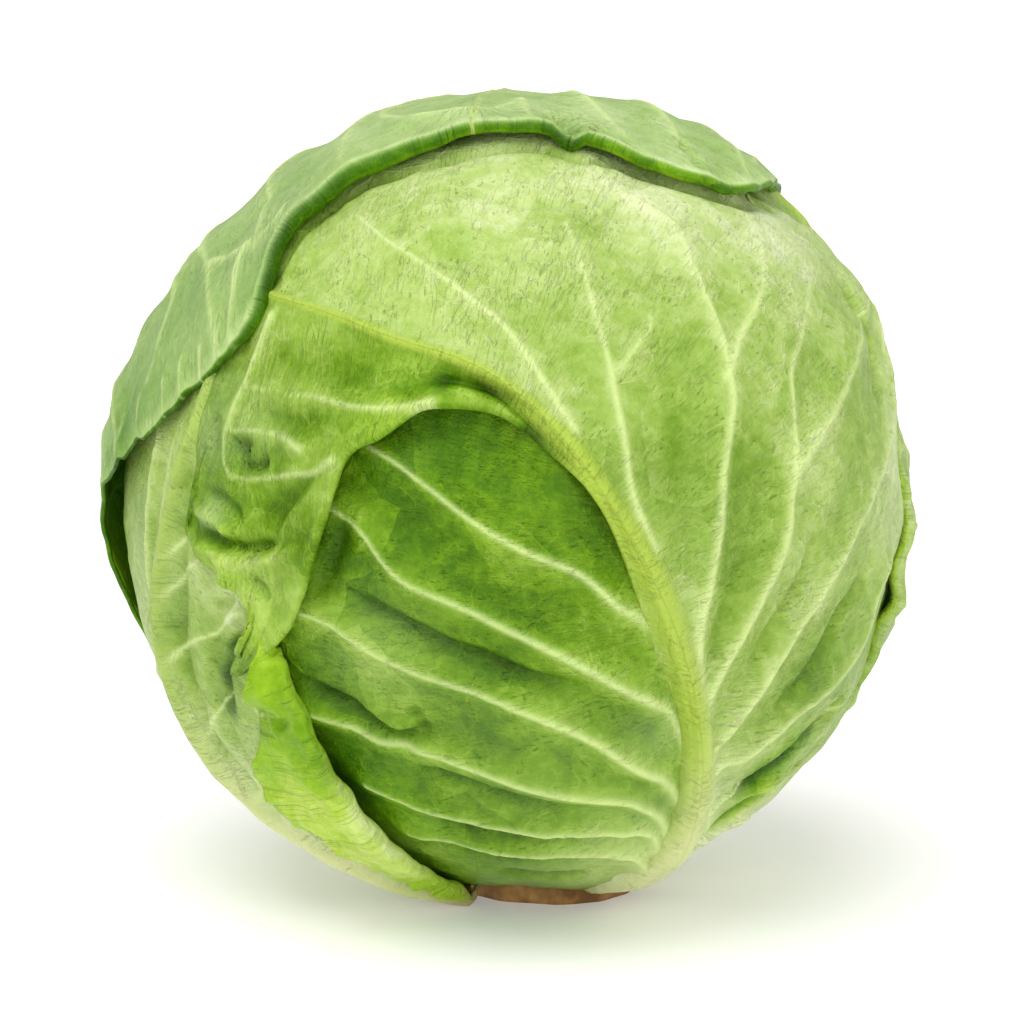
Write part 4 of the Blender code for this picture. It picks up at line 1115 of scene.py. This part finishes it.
class CABBAGE_OT_stage(bpy.types.Operator):
    """Set the plain pale floor, the soft studio lights and the camera"""

    bl_idname = "cabbage.stage"
    bl_label = "Stage"

    def execute(self, context):
        scene = context.scene
        scene.view_settings.view_transform = "Standard"
        bm = bmesh.new()
        bmesh.ops.create_grid(bm, x_segments=1, y_segments=1, size=6.0)
        mesh = bpy.data.meshes.new("floor")
        bm.to_mesh(mesh)
        bm.free()
        floor = bpy.data.objects.new("floor", mesh)
        scene.collection.objects.link(floor)
        material, tree = new_material("Matt white studio board")
        place = add(tree, "ShaderNodeTexCoord").outputs["Object"]
        grain = add(tree, "ShaderNodeTexNoise", {"Scale": 900.0}, {"Vector": place})
        bump = add(tree, "ShaderNodeBump", {"Strength": 0.05, "Distance": 0.0002}, {"Height": grain.outputs["Fac"]})
        # A little light of its own keeps the board pale right up to the head, as a lit table does.
        board = add(
            tree, "ShaderNodeBsdfPrincipled",
            {"Base Color": linear("#f4f3f2"), "Roughness": 0.8, "Emission Color": linear("#fffcff"),
             "Emission Strength": 0.22},
            {"Normal": bump.outputs[0]},
        )
        add(tree, "ShaderNodeOutputMaterial", {}, {"Surface": board.outputs[0]})
        mesh.materials.append(material)

        world = bpy.data.worlds.new("Studio")
        scene.world = world
        world.use_nodes = True
        sky = world.node_tree.nodes["Background"].inputs
        sky["Color"].default_value, sky["Strength"].default_value = (1, 1, 1, 1), 0.60

        self.light("Overhead softbox", (-0.22, -0.50, 1.3), 48, 1.95)
        self.light("Front fill", (0.4, -1.5, 0.7), 50, 0.70)

        distance, rise = 0.9, np.radians(10.0)
        left, down = 8 / 4500, 15 / 4500  # metres that the camera stands off the line to the head's middle
        look = np.array([0, np.cos(rise), -np.sin(rise)])
        up = np.array([0, np.sin(rise), np.cos(rise)])
        centre = np.array([head_centre[0], head_centre[1], 89.0]) * METRE
        camera = bpy.data.objects.new("camera", bpy.data.cameras.new("camera"))
        camera.data.lens, camera.data.sensor_width = 142.3828125, 36.0
        camera.data.clip_end = 50.0
        camera.location = centre - look * distance - np.array([1, 0, 0]) * left - up * down
        camera.rotation_euler = (np.pi / 2 - rise, 0, 0)
        scene.collection.objects.link(camera)
        scene.camera = camera
        return {"FINISHED"}

    def light(self, name, offset, spread, power):
        """A broad soft light from far off, spread over that many degrees of the sky."""
        data = bpy.data.lights.new(name, "SUN")
        data.angle, data.energy = np.radians(spread), power
        lamp = bpy.data.objects.new(name, data)
        lamp.location = Vector(offset)
        lamp.rotation_euler = (-Vector(offset)).to_track_quat("-Z", "Y").to_euler()
        bpy.context.scene.collection.objects.link(lamp)


# ---------------------------------------------------------------- settings, panel and registration


class CabbageSizes(bpy.types.PropertyGroup):
    """Sizes of the head and its leaves"""

    lean: bpy.props.FloatProperty(name="Lean", description="How far the head leans over its stem, towards -X",
                                  default=np.radians(5.4), subtype="ANGLE")
    thickness: bpy.props.FloatProperty(name="Leaf thickness", description="Flesh of a leaf's blade",
                                       default=0.0009, unit="LENGTH", precision=4)
    vein_gain: bpy.props.FloatProperty(name="Vein height", description="Multiplies how far the veins stand up",
                                       default=1.0)
    crumple: bpy.props.FloatProperty(name="Crumple", description="Multiplies how uneven the blades are",
                                     default=1.0)


class CabbageColours(bpy.types.PropertyGroup):
    """Colours of the leaves and the stem, as sRGB hex values"""

    vein: bpy.props.StringProperty(name="Veins", description="The side veins", default="#d6e79c")
    midrib: bpy.props.StringProperty(name="Midribs", description="The thick midribs", default="#a9c248")
    wax: bpy.props.StringProperty(name="Wax bloom", description="The whitish bloom on the outer leaves",
                                  default="#c2d29c")
    stem: bpy.props.StringProperty(name="Stem pith", description="The browned cut face", default="#b98c4e")
    rind: bpy.props.StringProperty(name="Stem rind", description="The dried rind", default="#7c5424")


OPERATORS = (
    CABBAGE_OT_stage,
    CABBAGE_OT_heart,
    CABBAGE_OT_stem,
    CABBAGE_OT_tucked_blade,
    CABBAGE_OT_front_leaf,
    CABBAGE_OT_left_leaf,
    CABBAGE_OT_rear_leaves,
    CABBAGE_OT_cap_leaf,
)


class CABBAGE_PT_panel(bpy.types.Panel):
    """The sizes, the colours and a button for each piece"""

    bl_label = "Cabbage head"
    bl_idname = "CABBAGE_PT_panel"
    bl_space_type = "VIEW_3D"
    bl_region_type = "UI"
    bl_category = "Cabbage"

    def draw(self, context):
        for group in (context.scene.cabbage_sizes, context.scene.cabbage_colours):
            for name in group.bl_rna.properties.keys():
                if name not in ("rna_type", "name"):
                    self.layout.prop(group, name)
        for operator in OPERATORS:
            self.layout.operator(operator.bl_idname)


CLASSES = (CabbageSizes, CabbageColours, *OPERATORS, CABBAGE_PT_panel)


def register():
    for kind in CLASSES:
        bpy.utils.register_class(kind)
    bpy.types.Scene.cabbage_sizes = bpy.props.PointerProperty(type=CabbageSizes)
    bpy.types.Scene.cabbage_colours = bpy.props.PointerProperty(type=CabbageColours)


def unregister():
    del bpy.types.Scene.cabbage_sizes
    del bpy.types.Scene.cabbage_colours
    for kind in reversed(CLASSES):
        bpy.utils.unregister_class(kind)


def main():
    register()
    for operator in OPERATORS:
        getattr(bpy.ops.cabbage, operator.bl_idname.split(".")[1])()
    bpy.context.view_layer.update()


if __name__ == "__main__":
    main()
